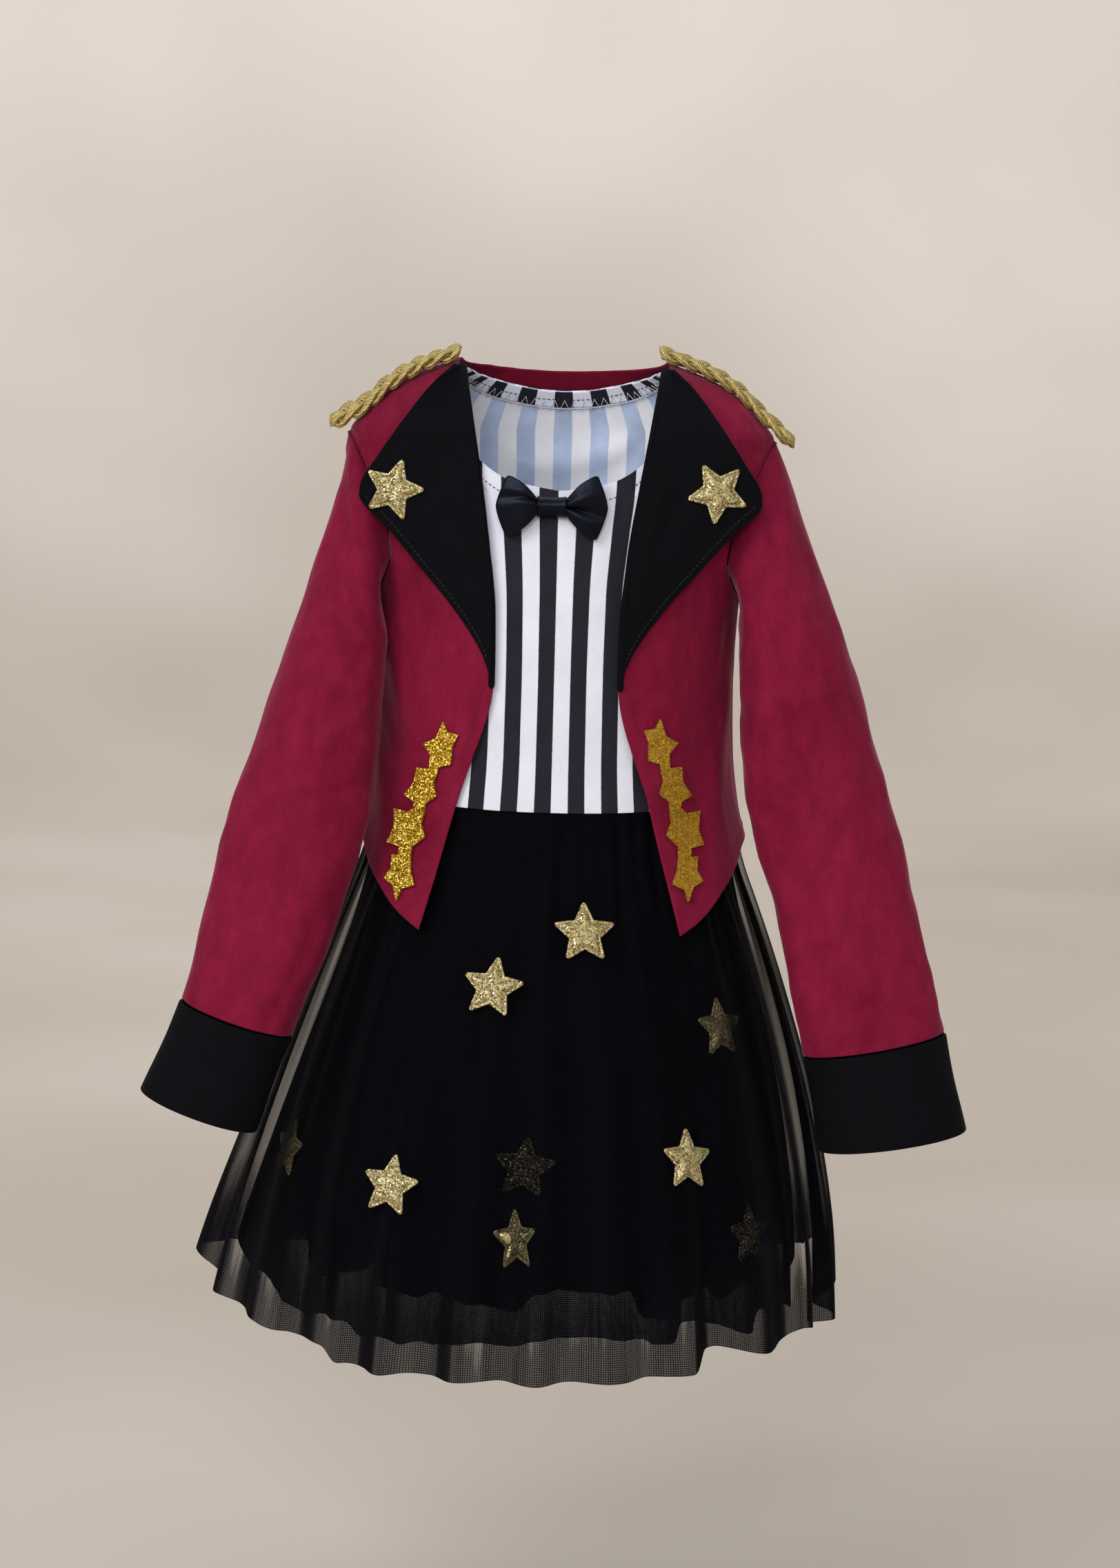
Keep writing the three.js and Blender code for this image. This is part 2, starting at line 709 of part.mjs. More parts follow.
// Mean form of the outer net, the height of its waves and of its fine gathers, and how far
// inside it the two layers below lie, with their waves
const SKIRT = curveThrough(
  table("z halfWidth front back wave gather under underWave lining liningWave", [
    [-261, 106.6, 79.6, 71.4, 0.2, 0.5, 2.2, 0.2, 4.2, 0.2],
    [-272, 107.6, 81, 73.5, 0.5, 0.8, 3, 0.4, 5.4, 0.4],
    [-287, 110.3, 85, 79, 0.9, 0.9, 4.2, 0.7, 7.4, 0.7],
    [-303, 114.5, 91.5, 86.5, 1.3, 0.9, 6, 1.1, 10, 1],
    [-322, 121.5, 99.5, 95, 1.9, 0.8, 9, 1.7, 14, 1.5],
    [-350, 132, 110, 106, 2.8, 0.5, 12.5, 2.4, 18.5, 2.1],
    [-381, 143, 121, 118, 3.6, 0.2, 14.5, 3, 22, 2.6],
    [-430, 159, 136, 134, 4.8, 0, 16.5, 4, 26, 3.4],
    [-477, 172, 148, 147, 5.6, 0, 18, 4.6, 29, 4],
    [-530, 184, 159, 158, 6.4, 0, 19.5, 5.2, 31.5, 4.5],
    [-590, 193, 166, 166, 7, 0, 21, 5.8, 34, 5],
  ]),
  "z",
);

// The outer net's hem: its height and how far it is flung out, by angle from the centre front
const HEM = curveThrough(
  table("angle z fling", [
    [-180, -583, 1],
    [-140, -574, 1.02],
    [-112, -560, 1.05],
    [-92, -549, 1.1],
    [-82, -560, 1.07],
    [-66, -570, 1.03],
    [-54, -576, 1],
    [-43, -578, 0.97],
    [-38, -586, 1],
    [-20, -586, 1],
    [0, -586, 1],
    [28, -584, 1],
    [33, -570, 0.96],
    [48, -579, 0.96],
    [61, -571, 0.94],
    [76, -574, 0.93],
    [85, -570, 0.91],
    [93, -556, 0.94],
    [104, -541, 0.96],
    [118, -555, 0.98],
    [140, -566, 1],
    [180, -583, 1],
  ]),
  "angle",
);
const GATHERS = 60;

// Each layer's waves round the skirt, its grid, and how much higher its hem lies
const LAYERS = {
  skirt_outer_net: { waves: 24, phase: 0.4, grid: [120, 7], hemRise: 0, hemSway: 0 },
  skirt_under_net: { waves: 16, phase: 1.7, grid: [64, 5], hemRise: 14, hemSway: 5 },
  skirt_lining: { waves: 12, phase: 2.9, grid: [48, 4], hemRise: 32, hemSway: 9 },
};

// A layer's form at a height: how far inside the outer net it lies, its waves and its gathers
function layerForm(name, z) {
  const form = SKIRT(z);
  if (name === "skirt_under_net") return { ...form, inset: form.under, wave: form.underWave, gather: 0 };
  if (name === "skirt_lining") return { ...form, inset: form.lining, wave: form.liningWave, gather: 0 };
  return { ...form, inset: 0 };
}

// Uneven waves round the skirt, from -1 to 1
function waveAt({ waves, phase }, turn) {
  const drift = 0.9 * Math.sin(3 * turn + phase) + 0.5 * Math.sin(5 * turn - phase);
  const strength = 0.72 + 0.28 * Math.cos(4 * turn + 2 * phase);
  return strength * Math.cos(waves * turn + drift);
}

// A point of a skirt layer, down being its share from the waist to the hem. On the crests a
// point lies on the smooth surface that the waves touch from inside.
function skirtPoint(name, angle, down, onCrests = false) {
  const layer = LAYERS[name];
  const turn = radians(angle);
  const hem = HEM(angle);
  const hemZ = hem.z + layer.hemRise + layer.hemSway * Math.sin(3 * turn + layer.phase);
  const z = mix(waistZ(angle) - SEAM_GAP, hemZ, down);
  const form = layerForm(name, z);
  const ripple = form.wave * waveAt(layer, turn) + form.gather * Math.cos(GATHERS * turn);
  const away = (onCrests ? form.wave + form.gather : ripple) - form.inset;
  const fling = mix(1, hem.fling, down ** 2);
  const depth = Math.cos(turn) > 0 ? form.front : form.back;
  return [
    (form.halfWidth * fling + away) * Math.sin(turn),
    -(depth * fling + away) * Math.cos(turn),
    z,
  ];
}

const skirtLayer = (name) => lifted((u, v) => skirtPoint(name, mix(-180, 180, u), 1 - v));

// Padded stars

// Outline of a five-pointed star with blunt tips, as points round its centre
function starOutline(size) {
  const points = [];
  const add = (reach, turn) => points.push([reach * Math.cos(turn), reach * Math.sin(turn)]);
  for (let k = 0; k < 5; k++) {
    const tip = radians(90 + 72 * k);
    add(size, tip - 0.09);
    add(size, tip + 0.09);
    add(STAR_NOTCH * size, tip + radians(36));
  }
  return points;
}

// A star with a flat back, a thin rim and a cushioned middle, facing +Z
function paddedStar(size) {
  const outline = starOutline(size);
  const count = outline.length;
  const levels = table("scale height", [
    [1, 0],
    [1, 1.3],
    [0.64, 3.3],
  ]);
  const points = levels.flatMap(({ scale, height }) =>
    outline.map(([x, y]) => [x * scale, y * scale, height]),
  );
  const [back, crown] = [points.push([0, 0, 0]) - 1, points.push([0, 0, 4]) - 1];
  const faces = [];
  for (let i = 0; i < count; i++) {
    const next = (i + 1) % count;
    for (let k = 0; k < levels.length - 1; k++) {
      const [a, b] = [k * count + i, k * count + next];
      faces.push(a, b, b + count, a, b + count, a + count);
    }
    const last = (levels.length - 1) * count;
    faces.push(back, next, i, crown, last + i, last + next);
  }
  return solidFrom(points, faces);
}

// How far a star reaches from its centre, in a direction given as an angle from its top tip
function starReach(angle) {
  const sector = radians(72);
  const off = Math.abs(angle - sector * Math.round(angle / sector));
  const [tip, notch] = [new THREE.Vector2(1, 0), new THREE.Vector2(STAR_NOTCH, 0)];
  const side = notch.rotateAround(new THREE.Vector2(), sector / 2).sub(tip);
  return (STAR_SIZE * tip.cross(side)) / new THREE.Vector2(Math.cos(off), Math.sin(off)).cross(side);
}

// Lays a star on a cloth at a point, turned in the cloth from upright: beside and above are
// nearby points of the same cloth. It lies against the highest point of the cloth under it.
function layStar(mesh, point, beside, above, turn, cloth) {
  const centre = new THREE.Vector3(...point);
  const out = new THREE.Vector3(...beside).sub(centre);
  out.cross(new THREE.Vector3(...above).sub(centre)).normalize();
  const right = new THREE.Vector3(0, 0, 1).cross(out).normalize();
  mesh.quaternion.setFromRotationMatrix(
    new THREE.Matrix4().makeBasis(right, out.clone().cross(right), out),
  );
  mesh.rotateZ(radians(turn));
  const toStar = mesh.quaternion.clone().invert();
  const under = cloth
    .map((place) => new THREE.Vector3(...place).sub(centre).applyQuaternion(toStar))
    .filter(({ x, y }) => Math.hypot(x, y) < starReach(Math.atan2(x, y)));
  const highest = Math.max(...under.map(({ z }) => z));
  mesh.position.copy(centre.addScaledVector(out, highest + STAR_GAP));
}

// Points of a wall's flat facets in a patch round (u, v)
function facetPoints(place, [columns, rows], [u, v], [halfU, halfV]) {
  const steps = 40;
  const share = (k) => (2 * k) / steps - 1;
  const points = [];
  for (let i = 0; i <= steps; i++)
    for (let j = 0; j <= steps; j++) {
      const [column, row] = [(u + halfU * share(i)) * columns, (v + halfV * share(j)) * rows];
      const [left, low] = [Math.floor(column), Math.floor(row)];
      const corner = (di, dj) => new THREE.Vector3(...place((left + di) / columns, (low + dj) / rows, 0));
      const [lower, upper] = [0, 1].map((dj) => corner(0, dj).lerp(corner(1, dj), column - left));
      points.push(lower.lerp(upper, row - low).toArray());
    }
  return points;
}

// Where the lapels' stars are, in the front view, and how far each is turned
const LAPEL_STARS = {
  right: { x: 98, z: -77, turn: -16 },
  left: { x: 92, z: -74, turn: 30 },
};

function layLapelStar(mesh, side) {
  const place = lapel(side);
  const { x, z, turn } = LAPEL_STARS[side];
  const sign = side === "left" ? 1 : -1;
  const [u, v] = locate(place, sign * x, z);
  const cloth = facetPoints(place, GRID.lapel, [u, v], [0.35, 0.2]);
  layStar(mesh, place(u, v, 0), place(u + sign * 0.01, v, 0), place(u, v + 0.01, 0), turn, cloth);
}

// Stars on the skirt: on the outer net, or on the net under it where they show through
const SKIRT_STARS = table("angle z turn under", [
  [9.3, -331, 0, 0],
  [-13.2, -363, -6, 0],
  [-30, -478, -4, 0],
  [30, -459, -7, 0],
  [50, -391, -4, 1],
  [-74, -477, 0, 1],
  [-4, -466, -5, 1],
  [50, -512, -4, 1],
]);

function laySkirtStar(mesh, { angle, z, turn, under }) {
  const name = under ? "skirt_under_net" : "skirt_outer_net";
  const [top, bottom] = [skirtPoint(name, angle, 0, true)[2], skirtPoint(name, angle, 1, true)[2]];
  const down = (top - z) / (top - bottom);
  const at = (a, d) => skirtPoint(name, a, d, true);
  const share = [(angle + 180) / 360, 1 - down];
  const cloth = facetPoints(skirtLayer(name), LAYERS[name].grid, share, [0.03, 0.07]);
  layStar(mesh, at(angle, down), at(angle + 1, down), at(angle, down - 0.01), turn, cloth);
}

// Star chains: cut from one glittered sheet, lying on each front beside its edge

// The chain's outline in the front view of the right front: x and depth below its top tip
const CHAIN_OUTLINE = table("x down", [
  [0, 0],
  [2.8, 5.8],
  [9.2, 6.8],
  [6.1, 14.6],
  [5.8, 24.8],
  [-1.4, 27.3],
  [-2, 31.1],
  [-3.8, 37.2],
  [-1.8, 44.8],
  [-8, 50],
  [-8.2, 54],
  [-9.6, 62],
  [-7.2, 69.2],
  [-14.6, 76],
  [-15, 81.6],
  [-14.6, 89],
  [-12, 97],
  [-19.4, 100.2],
  [-22, 107],
  [-24.6, 99],
  [-30, 96],
  [-26.2, 89.6],
  [-26.2, 82.2],
  [-22.2, 82],
  [-22, 77.2],
  [-29.6, 75.6],
  [-25.9, 66.8],
  [-26.2, 55.6],
  [-18.2, 56.4],
  [-14.6, 53.2],
  [-14.8, 49.8],
  [-20.8, 46.4],
  [-15.2, 38],
  [-14, 28.9],
  [-7, 29.4],
  [-6.2, 21],
  [-11, 14.4],
  [-3.6, 10.2],
]);

// Where its top tip lies, from the centre line, and how far it leans
const CHAIN_PLACE = {
  right: { x: 64.7, z: -212.8, lean: 1.5 },
  left: { x: 61.1, z: -207.5, lean: -1.5 },
};

// A flat outline cut into bands and then into triangles, so that it can follow a curved cloth
function bandedTriangles(outline) {
  const whole = new wasm.CrossSection([outline], "EvenOdd");
  const { min, max } = whole.bounds();
  const [points, faces, places] = [[], [], new Map()];
  const indexOf = ([x, y]) => {
    const key = `${x.toFixed(3)} ${y.toFixed(3)}`;
    if (!places.has(key)) places.set(key, points.push([x, y]) - 1);
    return places.get(key);
  };
  for (let y = min[1]; y < max[1]; y += CHAIN_BAND) {
    const band = wasm.CrossSection.square([max[0] - min[0], CHAIN_BAND]).translate([min[0], y]);
    for (const ring of whole.intersect(band).toPolygons()) {
      const corners = ring.map(([cornerX, cornerY]) => new THREE.Vector2(cornerX, cornerY));
      for (const face of THREE.ShapeUtils.triangulateShape(corners, []))
        faces.push(face.map((i) => indexOf(ring[i])));
    }
  }
  return { points, faces };
}

function starChain(side) {
  const front = jacketFront(side);
  const sign = side === "left" ? 1 : -1;
  const place = CHAIN_PLACE[side];
  const outline = CHAIN_OUTLINE.map(({ x, down }) =>
    new THREE.Vector2(x, -down).rotateAround(new THREE.Vector2(), -radians(place.lean)).toArray(),
  );
  const { points, faces } = bandedTriangles(outline);
  const shares = points.map(([x, y]) => locate(front, sign * (place.x - x), place.z + y));
  const layer = (lift) => shares.map(([u, v]) => front(u, v, lift));
  const count = points.length;
  const edges = faces.flatMap(([a, b, c]) => [[a, b], [b, c], [c, a]]);
  const used = new Set(edges.map(String));
  const rim = edges.filter(([a, b]) => !used.has(String([b, a])));
  return solidFrom(
    [...layer(CHAIN_GAP), ...layer(CHAIN_GAP + CHAIN_THICKNESS)],
    [
      ...faces.flat(),
      ...faces.flatMap(([a, b, c]) => [a + count, c + count, b + count]),
      ...rim.flatMap(([a, b]) => [b, a, a + count, b, a + count, b + count]),
    ],
  );
}

// Epaulettes: three flat strands of gold cords, plaited along the shoulder

const PLAIT = {
  outerX: 138,
  strandWidth: 7.6,
  strandThickness: 4,
  halfSpread: 4.6, // of the strands' middles to either side
  rise: 2.2, // of a strand over and under the others
  turns: 2.4, // of each strand along the plait
};
// Where each plait begins, how far it lies in front of the shoulder seam, the mean height of its
// underside over the jacket, and how steeply its free end runs down
const PLAIT_PLACE = {
  right: { innerX: 63, forward: 12, height: 3.6, droop: 0.56 },
  left: { innerX: 58, forward: 7, height: 3.1, droop: 0.9 },
};

// The height of the torso form above a point of the ground plan
function shoulderTop(x, y) {
  let [low, high] = [-120, 4];
  for (let i = 0; i < 24; i++) {
    const z = (low + high) / 2;
    const { halfWidth, front, back } = TORSO(z);
    if (Math.hypot(x / halfWidth, y / (y < 0 ? front : back)) < 1) low = z;
    else high = z;
  }
  return low;
}

// One strand of the plait: u across it and v along it
function plaitStrand(side, k) {
  const { innerX, forward, height, droop } = PLAIT_PLACE[side];
  const free = 116; // x from which the plait runs on straight, clear of the sleeve
  const middle = (v) => {
    const phase = 2 * Math.PI * (PLAIT.turns * v + k / 3);
    const pinch = 0.55 + 0.45 * Math.sin(Math.PI * Math.min(0.5, 0.1 + 3 * Math.min(v, 1 - v)));
    const y = PLAIT.halfSpread * pinch * Math.sin(phase) - forward;
    return { x: mix(innerX, PLAIT.outerX, v), y, rise: PLAIT.rise * Math.sin(2 * phase) };
  };
  return onSide(
    side,
    lifted((u, v) => {
      const { x, y, rise } = middle(v);
      const [before, after] = [middle(v - 0.01), middle(v + 0.01)];
      const along = new THREE.Vector2(after.x - before.x, after.y - before.y).normalize();
      const off = (u - 0.5) * PLAIT.strandWidth;
      const [px, py] = [x - off * along.y, y + off * along.x];
      const top = shoulderTop(Math.min(px, free), py) - droop * Math.max(0, px - free);
      return [px, py, top + height + rise];
    }),
  );
}

function toManifold(geometry) {
  const merged = mergeVertices(geometry, 1e-4);
  return new wasm.Manifold(
    new wasm.Mesh({
      numProp: 3,
      vertProperties: merged.attributes.position.array,
      triVerts: new Uint32Array(merged.index.array),
    }),
  );
}

// Several walls that cross, joined into one solid
function joined(walls) {
  const { vertProperties, triVerts } = wasm.Manifold.union(walls.map(toManifold)).getMesh();
  const geometry = new THREE.BufferGeometry();
  geometry.setAttribute("position", new THREE.BufferAttribute(vertProperties, 3));
  geometry.setIndex(new THREE.BufferAttribute(triVerts, 1));
  return geometry;
}

function epaulette(side) {
  const strand = (k) =>
    wall({ place: plaitStrand(side, k), thickness: PLAIT.strandThickness, grid: GRID.strand });
  return joined([0, 1, 2].map(strand));
}

function bow() {
  const wings = ["right", "left"].map((side) => thin(bowWing(side), GRID.wing));
  return joined([...wings, thin(bowKnot, GRID.knot, true)]);
}

// The costume

const finish = (color, roughness, metalness = 0) =>
  new THREE.MeshStandardMaterial({ color, roughness, metalness });
const materials = {
  velvet: finish(BURGUNDY, 0.85),
  blackVelvet: finish(BLACK_VELVET, 0.9),
  striped: finish(STRIPED, 0.7),
  net: finish(NET_BLACK, 0.8),
  lining: finish(NET_BLACK, 0.7),
  satin: finish(SATIN_BLACK, 0.35),
  glitter: finish(PALE_GOLD, 0.4, 0.6),
  deepGlitter: finish(DEEP_GOLD, 0.4, 0.6),
  goldCord: finish(PALE_GOLD, 0.35, 0.8),
};

const costume = new THREE.Group();

function add(name, geometry, material) {
  const mesh = new THREE.Mesh(geometry, material);
  mesh.name = name;
  costume.add(mesh);
  return mesh;
}

add("jacket_back", velvet(jacketBack, GRID.back), materials.velvet);
for (const side of ["right", "left"]) {
  add(`jacket_front_${side}`, velvet(jacketFront(side), GRID.front), materials.velvet);
  add(`lapel_${side}`, velvet(lapel(side), GRID.lapel), materials.blackVelvet);
  add(`sleeve_${side}`, velvet(sleeve(side), GRID.sleeve, true), materials.velvet);
  add(`cuff_${side}`, velvet(cuff(side), GRID.cuff, true), materials.blackVelvet);
  add(`epaulette_${side}`, epaulette(side), materials.goldCord);
  add(`star_chain_${side}`, starChain(side), materials.deepGlitter);
  layLapelStar(add(`lapel_star_${side}`, paddedStar(STAR_SIZE), materials.glitter), side);
}

for (const face of ["front", "back"]) {
  const panel = wall({ place: bodice(face), thickness: JERSEY, grid: GRID.bodice });
  add(`bodice_${face}`, panel, materials.striped);
}
add("neck_facing", thin(neckFacing, GRID.facing, true), materials.striped);
add("bow", bow(), materials.satin);
for (const [name, { grid }] of Object.entries(LAYERS)) {
  const material = name === "skirt_lining" ? materials.lining : materials.net;
  add(name, thin(skirtLayer(name), grid, true), material);
}
SKIRT_STARS.forEach((row, i) => {
  laySkirtStar(add(`skirt_star_${i + 1}`, paddedStar(STAR_SIZE), materials.glitter), row);
});

export default costume;
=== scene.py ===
"""A child's ringmaster costume, filled out as worn: velvet jacket, striped dress and net skirt.

The cloth repeats the frame's forms with finer folds, its weaves, stitching and trims. Sizes in
this file are millimetres, and mesh() turns them into Blender's metres. +Z is up, the front faces
-Y, and left and right are the wearer's, so the left side is +X.
"""
import math
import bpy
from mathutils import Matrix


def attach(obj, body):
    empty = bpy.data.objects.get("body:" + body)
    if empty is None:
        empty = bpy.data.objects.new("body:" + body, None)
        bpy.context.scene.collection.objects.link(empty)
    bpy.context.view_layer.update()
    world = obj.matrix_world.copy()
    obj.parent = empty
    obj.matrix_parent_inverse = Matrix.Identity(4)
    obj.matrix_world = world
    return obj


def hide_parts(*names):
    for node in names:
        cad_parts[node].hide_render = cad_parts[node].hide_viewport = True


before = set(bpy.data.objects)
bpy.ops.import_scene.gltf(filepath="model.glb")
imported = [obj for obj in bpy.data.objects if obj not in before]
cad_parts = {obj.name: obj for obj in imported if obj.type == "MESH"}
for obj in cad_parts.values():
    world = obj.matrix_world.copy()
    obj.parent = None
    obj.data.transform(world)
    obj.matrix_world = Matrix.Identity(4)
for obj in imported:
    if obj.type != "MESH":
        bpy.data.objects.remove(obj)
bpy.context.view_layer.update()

from types import SimpleNamespace

import bmesh
import bpy
import numpy as np
from mathutils import Matrix, Vector

MM = 0.001

# Sizes, as on the solids
VELVET = 1.6
JERSEY = 1.2
SATIN = 0.8
SEAM_GAP = 0.3
LAPEL_GAP = 0.7
SHOULDER_Z = -45
ARMPIT_Z = -142
JACKET_SIDE_HEM_Z = -283
BACK_NECK_DROP, BACK_NECK_CURVE = 8.1, 1.7
BODICE_INSET = 5
WAIST_Z = -261
WAIST_DROP = 3
FACING_WIDTH = 11
FACING_GAP = 0.4
FACING_STRETCH = 1.18  # of the turned hem along the neckline
STAR_SIZE = 18.3
NET_DROP = 0.32  # metres of net from the waist to the hem
STRIPE_PERIOD = 20.2  # one black and one white stripe
STRIPE_SHIFT = 6.0  # of the black stripe nearest the centre front, to the right
TOPSTITCH = 7.0  # from an edge

SIDES = {"right": -1, "left": 1}


# Curves and surfaces, worked out for whole arrays of shares at once


def mix(a, b, share):
    return a + (b - a) * share


def ease(t):
    return t * t * (3 - 2 * t)


def clamp(t, low=0.0, high=1.0):
    return np.minimum(high, np.maximum(low, t))


def points(*parts):
    return np.stack(np.broadcast_arrays(*parts), axis=-1).astype(float)


def curve(columns, rows):
    """A smooth curve through a table: curve(value of the first column) gives the others."""
    names = columns.split()
    data = np.array(rows, float)
    keys = data[:, 0]
    sign = 1 if keys[-1] > keys[0] else -1
    rise = np.diff(data, axis=0) / np.diff(keys)[:, None]
    slope = np.empty_like(data)
    slope[0], slope[-1] = rise[0], rise[-1]
    before, after = rise[:-1], rise[1:]
    same_way = before * after > 0
    total = np.where(same_way, before + after, 1)
    slope[1:-1] = np.where(same_way, 2 * before * after / total, 0)

    def at(value):
        value = np.asarray(value, float)
        i = np.clip(np.searchsorted(sign * keys, sign * value, side="right") - 1, 0, len(keys) - 2)
        span = keys[i + 1] - keys[i]
        t = clamp((value - keys[i]) / span)
        found = {}
        for k, name in enumerate(names[1:], 1):
            bend = slope[i, k] * (1 - t) - slope[i + 1, k] * t
            step = mix(data[i, k], data[i + 1, k], ease(t))
            found[name] = step + span * t * (1 - t) * bend
        return SimpleNamespace(**found)

    return at


def normal_at(place, u, v, outward=1, step=0.004):
    """The way the cloth faces. outward is +1 or -1, whichever makes it face out."""
    normal = np.cross(
        place(u + step, v) - place(u - step, v), place(u, v + step) - place(u, v - step)
    )
    length = np.linalg.norm(normal, axis=-1, keepdims=True)
    return outward * normal / np.maximum(length, 1e-9)


def lifted(place, outward=1):
    """Turns place(u, v) into place(u, v, lift), the lift being along the cloth's own normal."""

    def at(u, v, lift):
        return place(u, v) + normal_at(place, u, v, outward) * np.asarray(lift)[..., None]

    return at


def on_side(side, place):
    """The same cloth on the left side, or mirrored for the right."""
    mirror = np.array([SIDES[side], 1, 1])
    return lambda *shares: place(*shares) * mirror


def between(bottom, top, left, right, u, v):
    """A point inside four edges, each edge giving its points along its own share."""
    zero, one = np.zeros_like(u), np.ones_like(u)
    corners = [edge(share) for edge in (bottom, top) for share in (zero, one)]
    u, v = u[..., None], v[..., None]
    sides = mix(bottom(u[..., 0]), top(u[..., 0]), v) + mix(left(v[..., 0]), right(v[..., 0]), u)
    return sides - mix(mix(corners[0], corners[1], u), mix(corners[2], corners[3], u), v)


def folds(size, rows):
    """Soft folds: each rises by height along a line on the cloth, width being half its breadth.

    A row is fromU, fromV, toU, toV, width, height, its ends being shares of the cloth's size.
    """

    def at(u, v):
        total = np.zeros_like(u)
        for from_u, from_v, to_u, to_v, width, height in rows:
            dx, dy = (to_u - from_u) * size[0], (to_v - from_v) * size[1]
            px, py = (u - from_u) * size[0], (v - from_v) * size[1]
            length = math.hypot(dx, dy)
            along = (px * dx + py * dy) / length
            off = (px * dy - py * dx) / length / width
            past = np.maximum(0, np.maximum(-along, along - length)) / width
            total = total + height * np.exp(-(off**2) - past**2)
        return total

    return at


def ripples(x, y, seed, wavelength, height):
    """Shallow uneven waves over a cloth whose place is x, y in millimetres."""
    draw = np.random.default_rng(seed)
    total = np.zeros_like(x)
    count = 7
    for _ in range(count):
        turn, phase = draw.uniform(0, 2 * np.pi, 2)
        length = wavelength * draw.uniform(0.6, 1.6)
        total += np.sin((x * np.cos(turn) + y * np.sin(turn)) * 2 * np.pi / length + phase)
    return height * total / math.sqrt(count)


def crushed(x, y, seed):
    """Broad soft waves with narrower ones on them, as velvet keeps from being folded."""
    broad = ripples(x, y, seed, 60, 0.5)
    narrow = ripples(x, y, seed + 100, 19, 0.16)
    return broad + narrow * (0.4 + clamp(broad + 0.3))


def wandering(turn, count, seed):
    """Smooth random values from -1 to 1 round a full turn, with count knots."""
    knots = np.random.default_rng(seed).uniform(-1, 1, count)
    place = (np.asarray(turn) / (2 * np.pi)) % 1 * count
    i = np.floor(place).astype(int) % count
    return mix(knots[i], knots[(i + 1) % count], ease(place - np.floor(place)))


# Torso form


TORSO = curve(
    "z half_width front back",
    [
        [4, 52, 27, 40],
        [0, 61, 33, 46],
        [-4, 72, 38, 49],
        [-10, 88, 44, 53],
        [-18, 102, 50, 57],
        [-26, 112, 55, 61],
        [-35, 120, 60, 65],
        [-45, 127, 64, 68],
        [-70, 126, 71, 73],
        [-100, 118, 78, 75],
        [-142, 109, 83, 75],
        [-190, 107, 84, 72],
        [-230, 108, 83, 71],
        [-264, 112, 85, 77],
        [-287, 118, 92, 86],
        [-310, 129, 102, 97],
        [-335, 141, 114, 109],
    ],
)


def torso_point(angle, z):
    form = TORSO(z)
    turn = np.radians(angle)
    depth = np.where(np.cos(turn) > 0, form.front, form.back)
    return points(form.half_width * np.sin(turn), -depth * np.cos(turn), z)


def torso_normal(angle, z):
    return normal_at(lambda a, h: torso_point(a * 100, h * 100), angle / 100, z / 100)


def on_torso(angle, z, lift):
    return torso_point(angle, z) + torso_normal(angle, z) * np.asarray(lift)[..., None]


def angle_at(x, z):
    return np.degrees(np.arcsin(np.minimum(1, x / TORSO(z).half_width)))


def pair(angle, z):
    return points(angle, z)


# Jacket panels

ARMHOLE = curve(
    "turn front back z",
    [
        [0, 90, 90, SHOULDER_Z],
        [25, 78, 101, -51],
        [55, 67, 110, -67],
        [90, 60, 113, -91],
        [125, 61, 107, -114],
        [155, 72, 98, -133],
        [180, 90, 90, ARMPIT_Z],
    ],
)
ARMPIT_SHARE, SHOULDER_SHARE = 5 / 16, 13 / 16


def side_edge(face, share):
    """A panel's side edge: up the side seam, round the armhole and along the shoulder seam."""
    side_z = mix(JACKET_SIDE_HEM_Z, ARMPIT_Z, share / ARMPIT_SHARE)
    shoulder_z = mix(SHOULDER_Z, 0, (share - SHOULDER_SHARE) / (1 - SHOULDER_SHARE))
    round_armhole = (SHOULDER_SHARE - share) / (SHOULDER_SHARE - ARMPIT_SHARE)
    edge = ARMHOLE(180 * clamp(round_armhole))
    straight = (share < ARMPIT_SHARE) | (share > SHOULDER_SHARE)
    z = np.where(share < ARMPIT_SHARE, side_z, np.where(share > SHOULDER_SHARE, shoulder_z, edge.z))
    return pair(np.where(straight, 90, getattr(edge, face)), z)


BACK_SIZE = (260, 287)
BACK_FOLDS = folds(
    BACK_SIZE,
    [
        [0.2, 0.3, 0.36, 0.05, 16, 2.5],
        [0.8, 0.3, 0.66, 0.02, 16, 2.5],
        [0.44, 0.25, 0.42, 0.0, 14, -2],
        [0.6, 0.3, 0.61, 0.0, 14, -2],
        [0.1, 0.62, 0.3, 0.74, 7, -1.1],
        [0.9, 0.6, 0.72, 0.75, 8, -1.2],
        [0.16, 0.4, 0.4, 0.47, 6, -0.8],
        [0.85, 0.42, 0.6, 0.5, 7, -0.9],
        [0.3, 0.86, 0.5, 0.9, 6, -0.6],
    ],
)


def jacket_back(u, v, lift):
    flip = np.array([-1, 1])
    turned = np.array([360, 0])
    angle, z = np.moveaxis(
        between(
            lambda s: pair(mix(90, 270, s), JACKET_SIDE_HEM_Z - 3 * np.sin(np.pi * s)),
            lambda s: pair(
                mix(90, 270, s),
                -BACK_NECK_DROP * np.maximum(0, np.sin(np.pi * s)) ** BACK_NECK_CURVE,
            ),
            lambda s: side_edge("back", s),
            lambda s: side_edge("back", s) * flip + turned,
            u,
            v,
        ),
        -1,
        0,
    )
    soft = BACK_FOLDS(u, v) + crushed(u * BACK_SIZE[0], v * BACK_SIZE[1], 3)
    return on_torso(angle, z, lift + soft * ease(clamp(np.minimum(u, 1 - u) * 12)))


